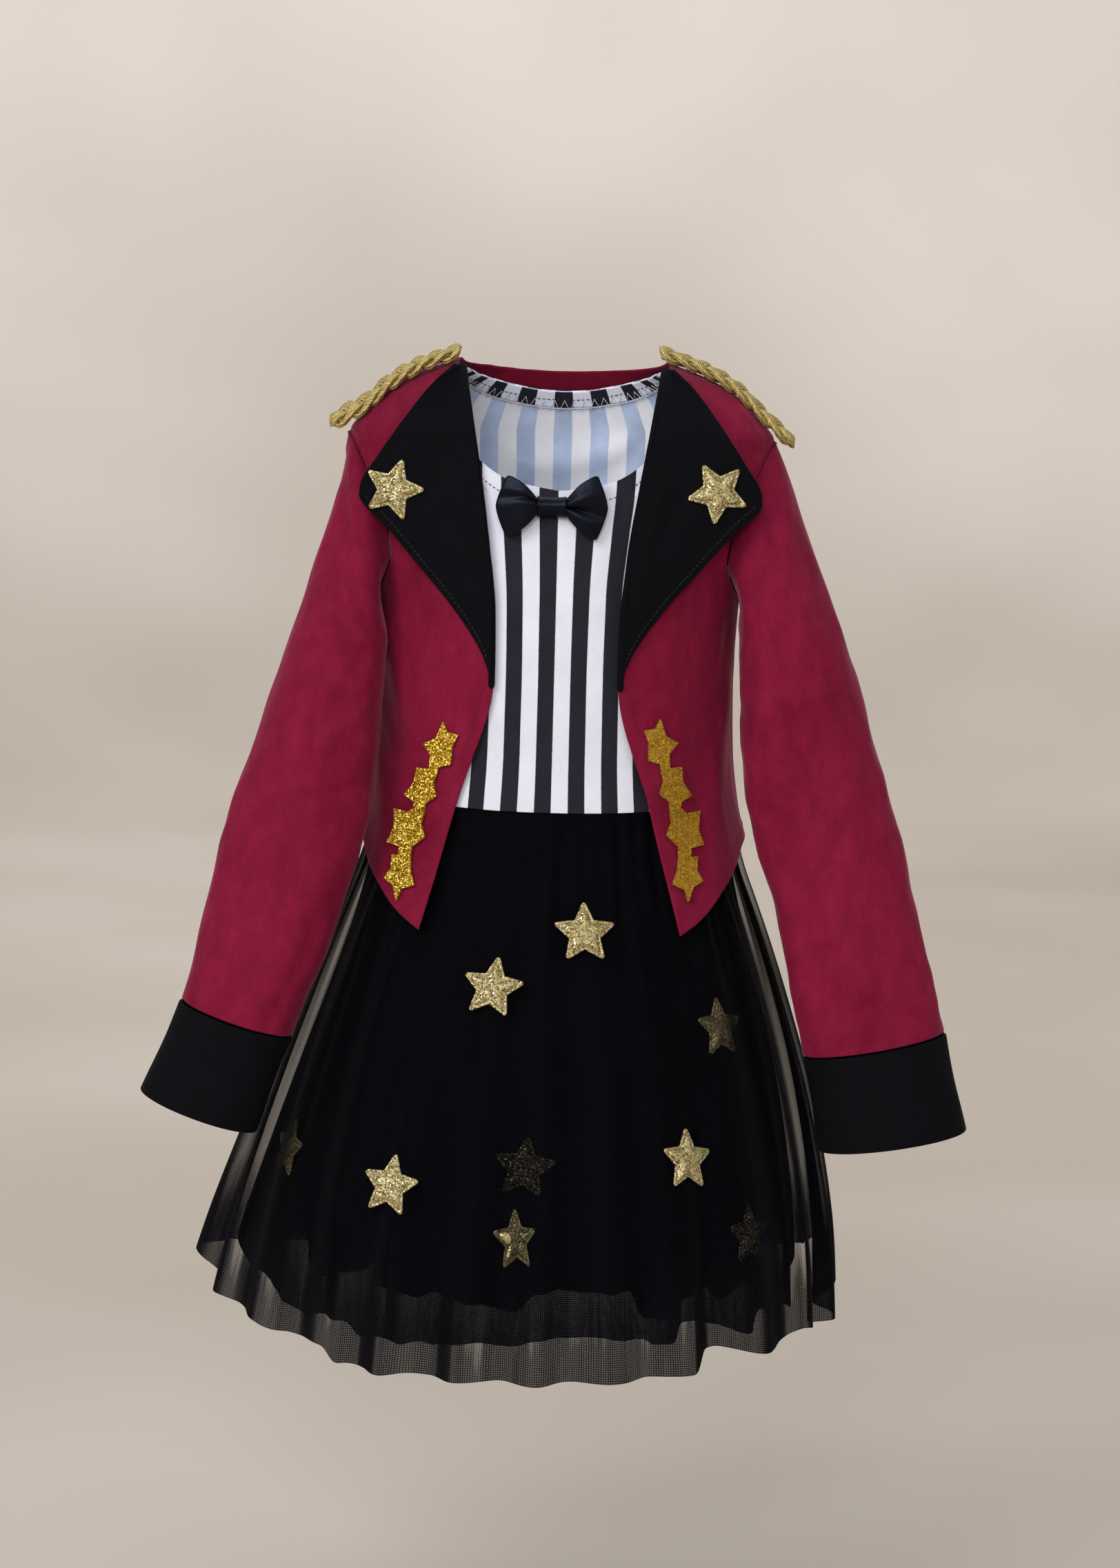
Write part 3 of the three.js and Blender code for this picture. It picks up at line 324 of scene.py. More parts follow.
FRONT_EDGE = curve(
    "v x z",
    [
        [0, 77, -333],
        [0.1875, 56.5, -259],
        [0.375, 37, -188],
        [0.5, 37.5, -149],
        [0.625, 41, -113],
        [0.8125, 49.5, -57],
        [0.9, 54, -31],
        [1, 59, -4],
    ],
)
BREAK_SHARE = 0.375
FRONT_HEM = curve(
    "u angle z",
    [
        [0, 90, JACKET_SIDE_HEM_Z],
        [0.22, 78, -287],
        [0.42, 65, -298],
        [0.62, 54, -309],
        [0.85, 41, -325],
        [1, 33.4, -333],
    ],
)
FRONT_SIZE = (110, 290)
FRONT_FOLDS = {
    "right": folds(
        FRONT_SIZE,
        [
            [0.35, 0.42, 0.8, 0.3, 13, -2.4],
            [0.3, 0.3, 0.6, 0.22, 13, 2.2],
            [0.3, 0.12, 0.55, 0.05, 14, 1.8],
            [0.1, 0.5, 0.55, 0.34, 4, -0.9],
            [0.05, 0.36, 0.5, 0.3, 4, -0.8],
            [0.2, 0.2, 0.62, 0.14, 5, 0.7],
            [0.45, 0.48, 0.9, 0.38, 5, 0.6],
            [0.1, 0.1, 0.35, 0.16, 5, -0.7],
        ],
    ),
    "left": folds(
        FRONT_SIZE,
        [
            [0.4, 0.42, 0.62, 0.14, 15, -2],
            [0.3, 0.22, 0.5, 0.1, 14, 1.8],
            [0.08, 0.46, 0.42, 0.2, 5, -0.9],
            [0.3, 0.5, 0.55, 0.28, 5, 0.8],
            [0.5, 0.36, 0.8, 0.26, 5, -0.6],
            [0.1, 0.12, 0.3, 0.3, 5, -0.7],
        ],
    ),
}


def front_edge(share):
    edge = FRONT_EDGE(share)
    return pair(angle_at(edge.x, edge.z), edge.z)


def front_hem(share):
    hem = FRONT_HEM(share)
    return pair(hem.angle, hem.z)


def jacket_front(side):
    one = np.ones(1)
    shoulder, neck = side_edge("front", one)[0], front_edge(one)[0]

    def place(u, v, lift):
        angle, z = np.moveaxis(
            between(
                front_hem,
                lambda s: mix(shoulder, neck, s[..., None]),
                lambda s: side_edge("front", s),
                front_edge,
                u,
                v,
            ),
            -1,
            0,
        )
        seed = 11 if side == "right" else 12
        soft = FRONT_FOLDS[side](u, v) + crushed(u * FRONT_SIZE[0], v * FRONT_SIZE[1], seed)
        return on_torso(angle, z, lift + soft * ease(clamp(u * 6)))

    return on_side(side, place)


# Lapels

LAPEL_LOWER_EDGE = curve(
    "u x z",
    [
        [0, 37, -188],
        [0.12, 44, -170],
        [0.3, 58, -149],
        [0.6, 83, -120],
        [0.85, 105, -96],
        [0.96, 116, -86],
        [1, 119, -81],
    ],
)
LAPEL_UPPER_EDGE = curve(
    "v x z",
    [
        [0, 119, -81],
        [0.06, 118.5, -76],
        [0.3, 108, -57],
        [0.6, 93, -35],
        [0.85, 77, -14],
        [1, 65, -3],
    ],
)
LAPEL_SPREAD = {"x": 30, "y": 12}
ROLL = SimpleNamespace(radius=1.95, lift=0.35, inset=0.9)  # the fold between front and lapel
LAPEL_SIZE = (90, 175)


def lapel_form(u, v):
    def roll(s):
        edge = FRONT_EDGE(mix(BREAK_SHARE, 1, s))
        return pair(edge.x, edge.z)

    def upper(s):
        edge = LAPEL_UPPER_EDGE(s)
        return pair(edge.x, edge.z)

    def lower(s):
        edge = LAPEL_LOWER_EDGE(s)
        return pair(edge.x, edge.z)

    one = np.ones(1)
    inner, outer = roll(one)[0], upper(one)[0]
    x, z = np.moveaxis(
        between(lower, lambda s: mix(inner, outer, s[..., None]), roll, upper, u, v), -1, 0
    )
    form = TORSO(z)
    spread = np.maximum(0, u) ** 2
    across = x / (form.half_width + LAPEL_SPREAD["x"] * spread)
    depth = (form.front + LAPEL_SPREAD["y"] * spread) * np.sqrt(np.maximum(0, 1 - across**2))
    return points(x, -depth, z)


def lapel(side):
    surface = lifted(lapel_form)
    soft = folds(
        LAPEL_SIZE,
        [
            [0.3, 0.3, 0.75, 0.55, 9, -0.9],
            [0.25, 0.75, 0.7, 0.65, 10, 0.8],
            [0.15, 0.1, 0.3, 0.5, 8, 0.7],
        ],
    )
    return on_side(side, lambda u, v, lift: surface(u, v, lift + VELVET + LAPEL_GAP + soft(u, v)))


# Sleeves

SLEEVE_RINGS = {
    "right": [
        [0, 127, -45, 109, -142, 0],
        [0.05, 128, -60, 107, -149, 0.4],
        [0.13, 133, -84, 103, -157, 0.75],
        [0.21, 142, -113, 101, -166, 0.95],
        [0.3, 151, -141, 101, -178, 1],
        [0.4, 163, -179, 102.5, -202, 1],
        [0.51, 176, -222, 105, -238, 1],
        [0.62, 188, -259, 109, -269, 1],
        [0.73, 197, -293, 116, -301, 1],
        [0.86, 206, -335, 130, -348, 1],
        [1, 215.5, -378, 150, -398, 1],
    ],
    "left": [
        [0, 127, -45, 109, -142, 0],
        [0.05, 133, -58, 109, -150, 0.4],
        [0.13, 142, -82, 108, -160, 0.75],
        [0.21, 152, -109, 108, -170, 0.95],
        [0.3, 163, -139, 109, -183, 1],
        [0.4, 177, -177, 110, -207, 1],
        [0.51, 190, -220, 112, -240, 1],
        [0.62, 201, -257, 118, -271, 1],
        [0.73, 212, -297, 130, -308, 1],
        [0.86, 223, -342, 141, -354, 1],
        [1, 234, -386, 151.5, -402, 1],
    ],
}
CUFF_RINGS = {
    "right": [[0, 216.5, -379, 150, -399], [1, 238, -431, 169, -453.5]],
    "left": [[0, 235, -387, 151.5, -403], [1, 248, -442, 161.5, -456]],
}
ARM_DEPTH = curve("z half", [[-90, 33], [-190, 32], [-280, 28], [-390, 27], [-460, 29]])
BODY_CLEARANCE = 3.2
SLEEVE_ROWS = 14  # of the solid, whose first row is cut square to the armhole
SLEEVE_SIZE = (190, 400)


def arm_line(z):
    return -10 + 0.236 * (z - SHOULDER_Z)


def ring_point(ring, turn):
    half = ARM_DEPTH((ring.outer_z + ring.inner_z) / 2).half
    share = (1 + np.cos(2 * np.pi * turn)) / 2
    z = mix(ring.inner_z, ring.outer_z, share)
    return points(
        mix(ring.inner_x, ring.outer_x, share), arm_line(z) - half * np.sin(2 * np.pi * turn), z
    )


def armhole_at(turn):
    whole = turn % 1
    edge = ARMHOLE(360 * np.minimum(whole, 1 - whole))
    return np.where(whole <= 0.5, edge.front, edge.back), edge.z


def armhole_edge(turn):
    """The sleeve's first ring, and the way that leads from the panels into the armhole there."""
    angle, z = armhole_at(turn)
    out = torso_normal(angle, z)
    ahead, behind = (torso_point(*armhole_at(turn + d)) for d in (0.01, -0.01))
    away = np.cross(out, ahead - behind)
    away /= np.linalg.norm(away, axis=-1, keepdims=True)
    return torso_point(angle, z) + (away + out) * SEAM_GAP, away


def clear_of_torso(place, clearance):
    x, y, z = np.moveaxis(place, -1, 0)
    form = TORSO(z)
    depth = np.where(y < 0, form.front, form.back)
    reach = np.hypot(x / (form.half_width + clearance), y / (depth + clearance))
    scale = np.where(reach < 1, 1 / np.maximum(reach, 0.1), 1)
    return points(x * scale, y * scale, z)


SLEEVE_FOLDS = {
    "right": folds(
        SLEEVE_SIZE,
        [
            [0.06, 0.12, 0.24, 0.2, 10, -1.8],
            [0.3, 0.32, 0.34, 0.6, 12, -1.5],
            [0.18, 0.45, 0.2, 0.9, 14, 1.5],
            [0.34, 0.72, 0.3, 0.95, 10, 1.3],
            [0.64, 0.4, 0.72, 0.6, 13, -1.2],
            [0.85, 0.5, 0.8, 0.9, 13, 1.2],
            [0.1, 0.2, 0.26, 0.29, 5, -1.3],
            [0.12, 0.05, 0.2, 0.16, 5, 1.2],
            [0.36, 0.3, 0.28, 0.44, 5, -1.3],
            [0.38, 0.42, 0.26, 0.5, 5, 1.1],
            [0.4, 0.56, 0.26, 0.6, 5, -1.1],
            [0.22, 0.62, 0.34, 0.68, 6, -0.9],
            [0.14, 0.72, 0.24, 0.86, 6, -1],
            [0.28, 0.8, 0.22, 0.98, 5, -1],
            [0.38, 0.82, 0.34, 0.99, 5, -1],
            [0.6, 0.5, 0.8, 0.55, 6, -1.2],
            [0.62, 0.62, 0.78, 0.66, 6, 1],
            [0.9, 0.12, 0.8, 0.24, 7, -1.2],
        ],
    ),
    "left": folds(
        SLEEVE_SIZE,
        [
            [0.3, 0.2, 0.28, 0.5, 10, -3.5],
            [0.22, 0.2, 0.2, 0.6, 13, 2.5],
            [0.38, 0.6, 0.33, 0.98, 10, -3.5],
            [0.14, 0.6, 0.18, 0.95, 14, -2.2],
            [0.66, 0.4, 0.72, 0.6, 13, -2.5],
            [0.86, 0.4, 0.8, 0.85, 13, 2.2],
            [0.1, 0.06, 0.22, 0.14, 4, -1.4],
            [0.08, 0.12, 0.22, 0.2, 5, 1.2],
            [0.34, 0.16, 0.3, 0.3, 4, -1.3],
            [0.36, 0.3, 0.32, 0.55, 5, 1.2],
            [0.26, 0.5, 0.36, 0.62, 5, -1.2],
            [0.2, 0.62, 0.3, 0.72, 5, -0.9],
            [0.3, 0.72, 0.26, 0.97, 6, 1.2],
            [0.2, 0.78, 0.22, 0.97, 5, -1],
            [0.62, 0.5, 0.8, 0.56, 6, -1.2],
            [0.6, 0.66, 0.78, 0.7, 6, 1],
            [0.9, 0.12, 0.8, 0.24, 7, -1.2],
        ],
    ),
}


def sleeve(side):
    rings = curve("v outer_x outer_z inner_x inner_z away", SLEEVE_RINGS[side])

    def tube(u, v):
        ring = rings(v)
        away = ring.away[..., None]
        edge, _ = armhole_edge(u)
        clearance = BODY_CLEARANCE * clamp(v * SLEEVE_ROWS)
        return clear_of_torso(mix(edge, ring_point(ring, u), away), clearance)

    def place(u, v, lift):
        out = normal_at(tube, u, v)
        _, away = armhole_edge(u)
        at_seam = np.maximum(0, 1 - v * SLEEVE_ROWS) * np.maximum(0, (out * away).sum(-1))
        out = out - away * at_seam[..., None]
        out /= np.linalg.norm(out, axis=-1, keepdims=True)
        seed = 21 if side == "right" else 22
        around = SLEEVE_SIZE[0] * np.sin(2 * np.pi * u) / np.pi
        crumple = crushed(around, v * SLEEVE_SIZE[1], seed)
        soft = (SLEEVE_FOLDS[side](u, v) + crumple) * ease(clamp(v * 6))
        return tube(u, v) + out * (lift + soft)[..., None]

    return on_side(side, place)


def cuff(side):
    rings = curve("v outer_x outer_z inner_x inner_z", CUFF_RINGS[side])
    surface = lifted(lambda u, v: ring_point(rings(v), u))

    def place(u, v, lift):
        x = SLEEVE_SIZE[0] * np.sin(2 * np.pi * u) / np.pi
        return surface(u, v, lift + ripples(x, v * 60, 31, 50, 0.4))

    return on_side(side, place)


# Dress bodice

BODICE_ARMHOLE = curve(
    "share front back z",
    [
        [0, 90, 90, -126],
        [0.2, 72, 108, -114],
        [0.45, 60, 119, -88],
        [0.7, 60, 119, -60],
        [0.88, 72, 107, -38],
        [1, 90, 90, -25],
    ],
)
NECK_SEAM_Z = -1
NECK = {
    "front": curve(
        "u angle z",
        [
            [0, 90, NECK_SEAM_Z],
            [0.1, 62, -6],
            [0.2, 46, -15],
            [0.3, 31, -36],
            [0.38, 23, -57],
            [0.43, 14, -68.5],
            [0.5, 0, -74],
        ],
    ),
    "back": curve(
        "u angle z",
        [
            [0, 90, NECK_SEAM_Z],
            [0.15, 115, -2],
            [0.3, 141, -7],
            [0.4, 160, -14],
            [0.46, 172, -17.6],
            [0.5, 180, -18.4],
        ],
    ),
}
BODICE_ARMPIT, BODICE_SHOULDER = 0.4, 0.8
BODICE_SIZE = (230, 260)


def waist_z(angle):
    return WAIST_Z - WAIST_DROP * np.cos(np.radians(angle)) ** 2


def bodice_side(face, share):
    round_armhole = (share - BODICE_ARMPIT) / (BODICE_SHOULDER - BODICE_ARMPIT)
    edge = BODICE_ARMHOLE(clamp(round_armhole))
    side_z = mix(WAIST_Z, -126, share / BODICE_ARMPIT)
    shoulder_z = mix(-25, NECK_SEAM_Z, (share - BODICE_SHOULDER) / (1 - BODICE_SHOULDER))
    straight = (share < BODICE_ARMPIT) | (share > BODICE_SHOULDER)
    z = np.where(
        share < BODICE_ARMPIT, side_z, np.where(share > BODICE_SHOULDER, shoulder_z, edge.z)
    )
    return pair(np.where(straight, 90, getattr(edge, face)), z)


def bodice_shares(face, u, v):
    """The torso form's angle and height at a share of a bodice panel."""
    middle = 0 if face == "front" else 180
    flip, turned = np.array([-1, 1]), np.array([2 * middle, 0])

    def bottom(s):
        angle = mix(90, 2 * middle - 90, s)
        return pair(angle, waist_z(angle))

    def top(s):
        edge = NECK[face](np.minimum(s, 1 - s))
        here = pair(edge.angle, edge.z)
        return np.where((s <= 0.5)[..., None], here, here * flip + turned)

    return between(
        bottom,
        top,
        lambda s: bodice_side(face, s),
        lambda s: bodice_side(face, s) * flip + turned,
        u,
        v,
    )


BODICE_FOLDS = {
    "front": folds(
        BODICE_SIZE,
        [
            [0.5, 0.02, 0.52, 0.3, 16, -1],
            [0.38, 0.02, 0.4, 0.25, 12, 0.9],
            [0.62, 0.02, 0.6, 0.3, 12, 0.9],
            [0.3, 0.5, 0.5, 0.62, 14, -0.8],
        ],
    ),
    "back": folds(
        BODICE_SIZE,
        [
            [0.41, 0.72, 0.57, 0.7, 9, -4],
            [0.38, 0.63, 0.58, 0.62, 10, 0.9],
            [0.3, 0.3, 0.5, 0.2, 16, 0.8],
            [0.66, 0.2, 0.58, 0.5, 14, -1],
        ],
    ),
}


def bodice(face):
    def place(u, v, lift):
        angle, z = np.moveaxis(bodice_shares(face, u, v), -1, 0)
        soft = BODICE_FOLDS[face](u, v) + ripples(u * BODICE_SIZE[0], v * BODICE_SIZE[1], 41, 50, 0.25)
        place = on_torso(angle, z, lift - BODICE_INSET + soft)
        place[..., 2] = np.maximum(place[..., 2], waist_z(angle))
        return place

    return place


def across_chest(angle):
    """How far round the bodice an angle is from the centre front, in millimetres."""
    steps = np.linspace(-180, 360, 541)
    ring = torso_point(steps, np.full_like(steps, ARMPIT_Z))
    length = np.concatenate([[0], np.cumsum(np.linalg.norm(np.diff(ring, axis=0), axis=1))])
    return np.interp(angle, steps, length) - np.interp(0, steps, length)


def stripe_place(face, angle):
    """How far a point of the bodice is from the middle of a black stripe."""
    if face == "front":
        return across_chest(angle) + STRIPE_SHIFT
    return across_chest(angle) - across_chest(180)


def neck_facing(u, v, lift):
    on_front = u < 0.5
    share = np.where(on_front, 1 - 2 * u, 2 * u - 1)
    step = 0.02
    one = np.ones_like(u)
    found = np.zeros(u.shape + (3,))
    for face, chosen in (("front", on_front), ("back", ~on_front)):
        place = bodice(face)
        edge, below = place(share, one, 0 * one), place(share, one - step, 0 * one)
        reach = np.linalg.norm(edge - below, axis=-1) / step
        depth = (1 - v) * FACING_WIDTH / reach
        at = place(share, 1 - depth, lift - JERSEY - FACING_GAP)
        found = np.where(chosen[..., None], at, found)
    return found


# Bow

BOW = SimpleNamespace(x=-5, y=-76.4, z=-84, half_width=33, knot=8.3, start=4, bulge=6.5)
BOW_WING = curve(
    "share half_height half_depth",
    [
        [0, 4.3, 2],
        [0.2, 4.8, 2.6],
        [0.36, 8.5, 3.6],
        [0.53, 12.6, 4.4],
        [0.75, 16, 3.8],
        [0.95, 18, 2],
        [1, 17.2, 1],
    ],
)


def bow_wing(side):
    """One folded band, with creases that fan out from the knot."""
    sign = SIDES[side]

    def form(u, v):
        share = np.minimum(1, 1 - np.abs(2 * u - 1))
        wing = BOW_WING(share)
        front = np.where(u > 0.5, -1, 1)
        height = 2 * v - 1
        reach = BOW.half_width - BOW.start - BOW.bulge
        valley = np.exp(-(((height + 0.28 * sign - 0.35 * (1 - share)) / 0.17) ** 2))
        ridge = np.exp(-(((height - 0.25 - 0.3 * share) / 0.3) ** 2))
        crease = (1.5 * ridge - 2.4 * valley) * np.sin(np.pi * clamp(share * 0.8 + 0.12))
        return points(
            BOW.x + sign * (BOW.start + share * reach + BOW.bulge * share**3 * (1 - np.abs(height) ** 1.4)),
            BOW.y + front * (wing.half_depth * (1 - 0.25 * height * height) + crease * (front < 0)),
            BOW.z + height * wing.half_height + 0.5 * sign * height * share,
        )

    return lifted(form, sign)


def bow_knot(u, v, lift):
    def form(u, v):
        turn = 2 * np.pi * u
        pinch = 1 - 0.1 * np.sin(np.pi * v) + 0.02 * np.cos(6 * np.pi * v)
        return points(
            BOW.x + mix(-BOW.knot, BOW.knot, v) * (1 + 0.05 * np.cos(turn) ** 2),
            BOW.y - 5.2 * pinch * np.sin(turn) - 0.5 * np.sin(2 * turn),
            BOW.z + 5.4 * pinch * np.cos(turn),
        )

    return lifted(form, -1)(u, v, lift)


# Skirt

SKIRT = curve(
    "z half_width front back wave gather under under_wave lining lining_wave",
    [
        [-261, 106.6, 79.6, 71.4, 0.2, 0.5, 2.2, 0.2, 4.2, 0.2],
        [-272, 107.6, 81, 73.5, 0.5, 0.8, 3, 0.4, 5.4, 0.4],
        [-287, 110.3, 85, 79, 0.9, 0.9, 4.2, 0.7, 7.4, 0.7],
        [-303, 114.5, 91.5, 86.5, 1.3, 0.9, 6, 1.1, 10, 1],
        [-322, 121.5, 99.5, 95, 1.9, 0.8, 9, 1.7, 14, 1.5],
        [-350, 132, 110, 106, 2.8, 0.5, 12.5, 2.4, 18.5, 2.1],
        [-381, 143, 121, 118, 3.6, 0.2, 14.5, 3, 22, 2.6],
        [-430, 159, 136, 134, 4.8, 0, 16.5, 4, 26, 3.4],
        [-477, 172, 148, 147, 5.6, 0, 18, 4.6, 29, 4],
        [-530, 184, 159, 158, 6.4, 0, 19.5, 5.2, 31.5, 4.5],
        [-590, 193, 166, 166, 7, 0, 21, 5.8, 34, 5],
    ],
)
HEM = curve(
    "angle z fling",
    [
        [-180, -583, 1],
        [-140, -574, 1.02],
        [-112, -560, 1.05],
        [-92, -549, 1.1],
        [-82, -560, 1.07],
        [-66, -570, 1.03],
        [-54, -576, 1],
        [-43, -578, 0.97],
        [-38, -586, 1],
        [-20, -586, 1],
        [0, -586, 1],
        [28, -584, 1],
        [33, -570, 0.96],
        [48, -579, 0.96],
        [61, -571, 0.94],
        [76, -574, 0.93],
        [85, -570, 0.91],
        [93, -556, 0.94],
        [104, -541, 0.96],
        [118, -555, 0.98],
        [140, -566, 1],
        [180, -583, 1],
    ],
)
GATHERS = 60
LAYERS = {
    "skirt_outer_net": SimpleNamespace(
        waves=24, phase=0.4, rise=0, sway=0, inset="", wave="wave", creases=1.0, ragged=1.2, steps=0
    ),
    "skirt_under_net": SimpleNamespace(
        waves=16, phase=1.7, rise=14, sway=5, inset="under", wave="under_wave", creases=0.9, ragged=2,
        steps=2,
    ),
    "skirt_lining": SimpleNamespace(
        waves=12, phase=2.9, rise=38, sway=8, inset="lining", wave="lining_wave", creases=0.7, ragged=3,
        steps=8,
    ),
}


def wave_at(layer, turn):
    drift = 0.9 * np.sin(3 * turn + layer.phase) + 0.5 * np.sin(5 * turn - layer.phase)
    strength = 0.72 + 0.28 * np.cos(4 * turn + 2 * layer.phase)
    return strength * np.cos(layer.waves * turn + drift)


def creases(turn, down, seed):
    """Sharp narrow folds that run down the net, from -1 to 1, each fading in and out."""
    total = 0
    for k, (count, share) in enumerate(((48, 0.5), (75, 0.32), (120, 0.18))):
        slant = 0.05 * wandering(turn, 24, seed + 7 + k) * down
        here = wandering(turn + slant, count, seed + k)
        total = total + share * np.sign(here) * np.abs(here) ** 1.4
    return total


def skirt_point(name, angle, down):
    layer = LAYERS[name]
    turn = np.radians(angle)
    hem = HEM((angle + 180) % 360 - 180)
    ragged = layer.ragged * wandering(turn, 90, 61) + 0.6 * layer.ragged * wandering(turn, 31, 62)
    low = ease(clamp(2 * down - 1))
    steps = layer.steps * np.tanh(7 * wandering(turn, 26, 63))
    hem_z = hem.z + layer.rise + layer.sway * np.sin(3 * turn + layer.phase) + (ragged + steps) * low
    z = mix(waist_z(angle) - SEAM_GAP, hem_z, down)
    form = SKIRT(z)
    inset = getattr(form, layer.inset) if layer.inset else 0
    gather = form.gather * np.cos(GATHERS * turn) if not layer.inset else 0
    pleats = wandering(turn + 0.02 * np.sin(3 * down), 150, 90 + layer.waves)
    gather = gather + layer.creases * 1.5 * pleats * clamp(down * 12) * np.exp(-down * 4)
    sharp = layer.creases * (0.5 + 2.2 * down) * creases(turn, down, 70 + layer.waves)
    away = getattr(form, layer.wave) * wave_at(layer, turn) + gather + sharp * clamp(8 * down) - inset
    fling = mix(1, hem.fling, down**2)
    depth = np.where(np.cos(turn) > 0, form.front, form.back)
    return points(
        (form.half_width * fling + away) * np.sin(turn), -(depth * fling + away) * np.cos(turn), z
    )


# Meshes


def mesh(name, verts, quads, uvs=None, material_of=None, smooth=True):
    """A mesh object from points in millimetres. uvs are one pair for each point, in metres."""
    data = bpy.data.meshes.new(name)
    data.from_pydata([], [], [])
    verts = np.asarray(verts, float) * MM
    quads = np.asarray(quads, int)
    data.vertices.add(len(verts))
    data.vertices.foreach_set("co", verts.ravel())
    data.loops.add(quads.size)
    data.loops.foreach_set("vertex_index", quads.ravel())
    data.polygons.add(len(quads))
    data.polygons.foreach_set("loop_start", np.arange(0, quads.size, quads.shape[1]))
    if material_of is not None:
        data.polygons.foreach_set("material_index", np.asarray(material_of, int))
    data.polygons.foreach_set("use_smooth", np.full(len(quads), smooth))
    if uvs is not None:
        layer = data.uv_layers.new(name="cloth")
        layer.data.foreach_set("uv", np.asarray(uvs, float)[quads.ravel()].ravel())
    data.update(calc_edges=True)
    data.validate()
    thing = bpy.data.objects.new(name, data)
    bpy.context.scene.collection.objects.link(thing)
    return thing


def shares(count, length, both=True):
    """Shares along an edge of that length, closer together at its ends, which are rounded."""
    ends = np.array([0, 0.25, 0.7, 1.3]) / length
    middle = np.linspace(2.6, length - 2.6, count) / length
    return np.concatenate([ends, middle, 1 - ends[::-1]]) if both else np.linspace(0, 1, count)


def wall(name, place, thickness, size, counts, uv_of=None, closed=False, materials=()):
    """A closed wall of cloth with rounded edges. Its outer side has the first material."""
    us = np.linspace(0, 1, counts[0] + 1) if closed else shares(counts[0], size[0])
    vs = shares(counts[1], size[1])
    u, v = np.meshgrid(us, vs)
    from_edge = np.minimum(v, 1 - v) * size[1]
    if not closed:
        from_edge = np.minimum(from_edge, np.minimum(u, 1 - u) * size[0])
    radius = 0.46 * thickness
    drop = radius - np.sqrt(radius**2 - (radius - np.minimum(from_edge, radius)) ** 2)
    outer = place(u, v, -drop)
    inner = place(u, v, -thickness + drop)
    rows, across = u.shape
    if closed:
        outer[:, -1], inner[:, -1] = outer[:, 0], inner[:, 0]
    index = np.arange(rows * across).reshape(rows, across)
    quads = [
        np.stack([index[:-1, :-1], index[:-1, 1:], index[1:, 1:], index[1:, :-1]], -1).reshape(-1, 4)
    ]
    half = rows * across
    quads.append(quads[0][:, ::-1] + half)
    rims = [index[0], index[-1][::-1]] if closed else [
        np.concatenate([index[0, :-1], index[:-1, -1], index[-1, :0:-1], index[:0:-1, 0], index[0, :1]])
    ]
    for rim in rims:
        quads.append(np.stack([rim[1:], rim[:-1], rim[:-1] + half, rim[1:] + half], -1))
    material_of = np.concatenate(
        [np.zeros(len(quads[0])), np.ones(len(quads[1])), *[np.zeros(len(q)) for q in quads[2:]]]
    )
    uv = uv_of(u, v) if uv_of else points(u * size[0], v * size[1])
    uvs = np.tile(uv.reshape(-1, 2) * MM, (2, 1))
    verts = np.concatenate([outer.reshape(-1, 3), inner.reshape(-1, 3)])
    thing = mesh(name, verts, np.concatenate(quads), uvs, material_of)
    tidy_mesh(thing)
    for material in materials:
        thing.data.materials.append(material)
    return thing


def tidy_mesh(thing, distance=1e-6):
    """Merges doubled points and turns every face of a closed mesh out."""
    work = bmesh.new()
    work.from_mesh(thing.data)
    bmesh.ops.remove_doubles(work, verts=work.verts, dist=distance)
    bmesh.ops.recalc_face_normals(work, faces=work.faces)
    work.to_mesh(thing.data)
    work.free()


def tube(path, radius, sides=8, twist=None, up=None, ends=True):
    """Points and quads of a tube along a path. twist(s, turn) scales its radius."""
    path = np.asarray(path, float)
    forward = np.gradient(path, axis=0)
    forward /= np.linalg.norm(forward, axis=1, keepdims=True)
    up = np.array([0, 0, 1.0]) if up is None else np.asarray(up, float)
    right = np.cross(forward, up)
    right /= np.maximum(np.linalg.norm(right, axis=1, keepdims=True), 1e-9)
    over = np.cross(right, forward)
    along = np.concatenate([[0], np.cumsum(np.linalg.norm(np.diff(path, axis=0), axis=1))])
    turn = np.linspace(0, 2 * np.pi, sides, endpoint=False)
    reach = radius * np.ones((len(path), sides))
    if twist:
        reach = reach * twist(along[:, None], turn[None, :])
    if ends:
        fade = np.minimum(along, along[-1] - along) / max(radius, 1e-6)
        reach = reach * np.sqrt(clamp(fade, 0.02, 1))[:, None]
    ring = (
        path[:, None, :]
        + right[:, None, :] * (np.cos(turn) * reach)[..., None]
        + over[:, None, :] * (np.sin(turn) * reach)[..., None]
    )
    index = np.arange(len(path) * sides).reshape(len(path), sides)
    after = np.roll(index, -1, axis=1)
    quads = np.stack([index[:-1], after[:-1], after[1:], index[1:]], -1).reshape(-1, 4)
    caps = []
    for row, flip in ((index[0], False), (index[-1], True)):
        for k in range(1, sides - 2, 2):
            cap = [row[0], row[k], row[k + 1], row[k + 2]]
            caps.append(cap[::-1] if flip else cap)
    return ring.reshape(-1, 3), np.concatenate([quads, np.array(caps)]), along, turn


def joined_tubes(name, tubes, material):
    """One mesh from several tubes, with the length along each tube as its uv."""
    verts, quads, uvs, start = [], [], [], 0
    for ring, faces, along, turn in tubes:
        verts.append(ring)
        quads.append(faces + start)
        uvs.append(np.stack(np.meshgrid(turn / (2 * np.pi), along * MM), -1).reshape(-1, 2))
        start += len(ring)
    thing = mesh(name, np.concatenate(verts), np.concatenate(quads), np.concatenate(uvs))
    thing.data.materials.append(material)
    return thing


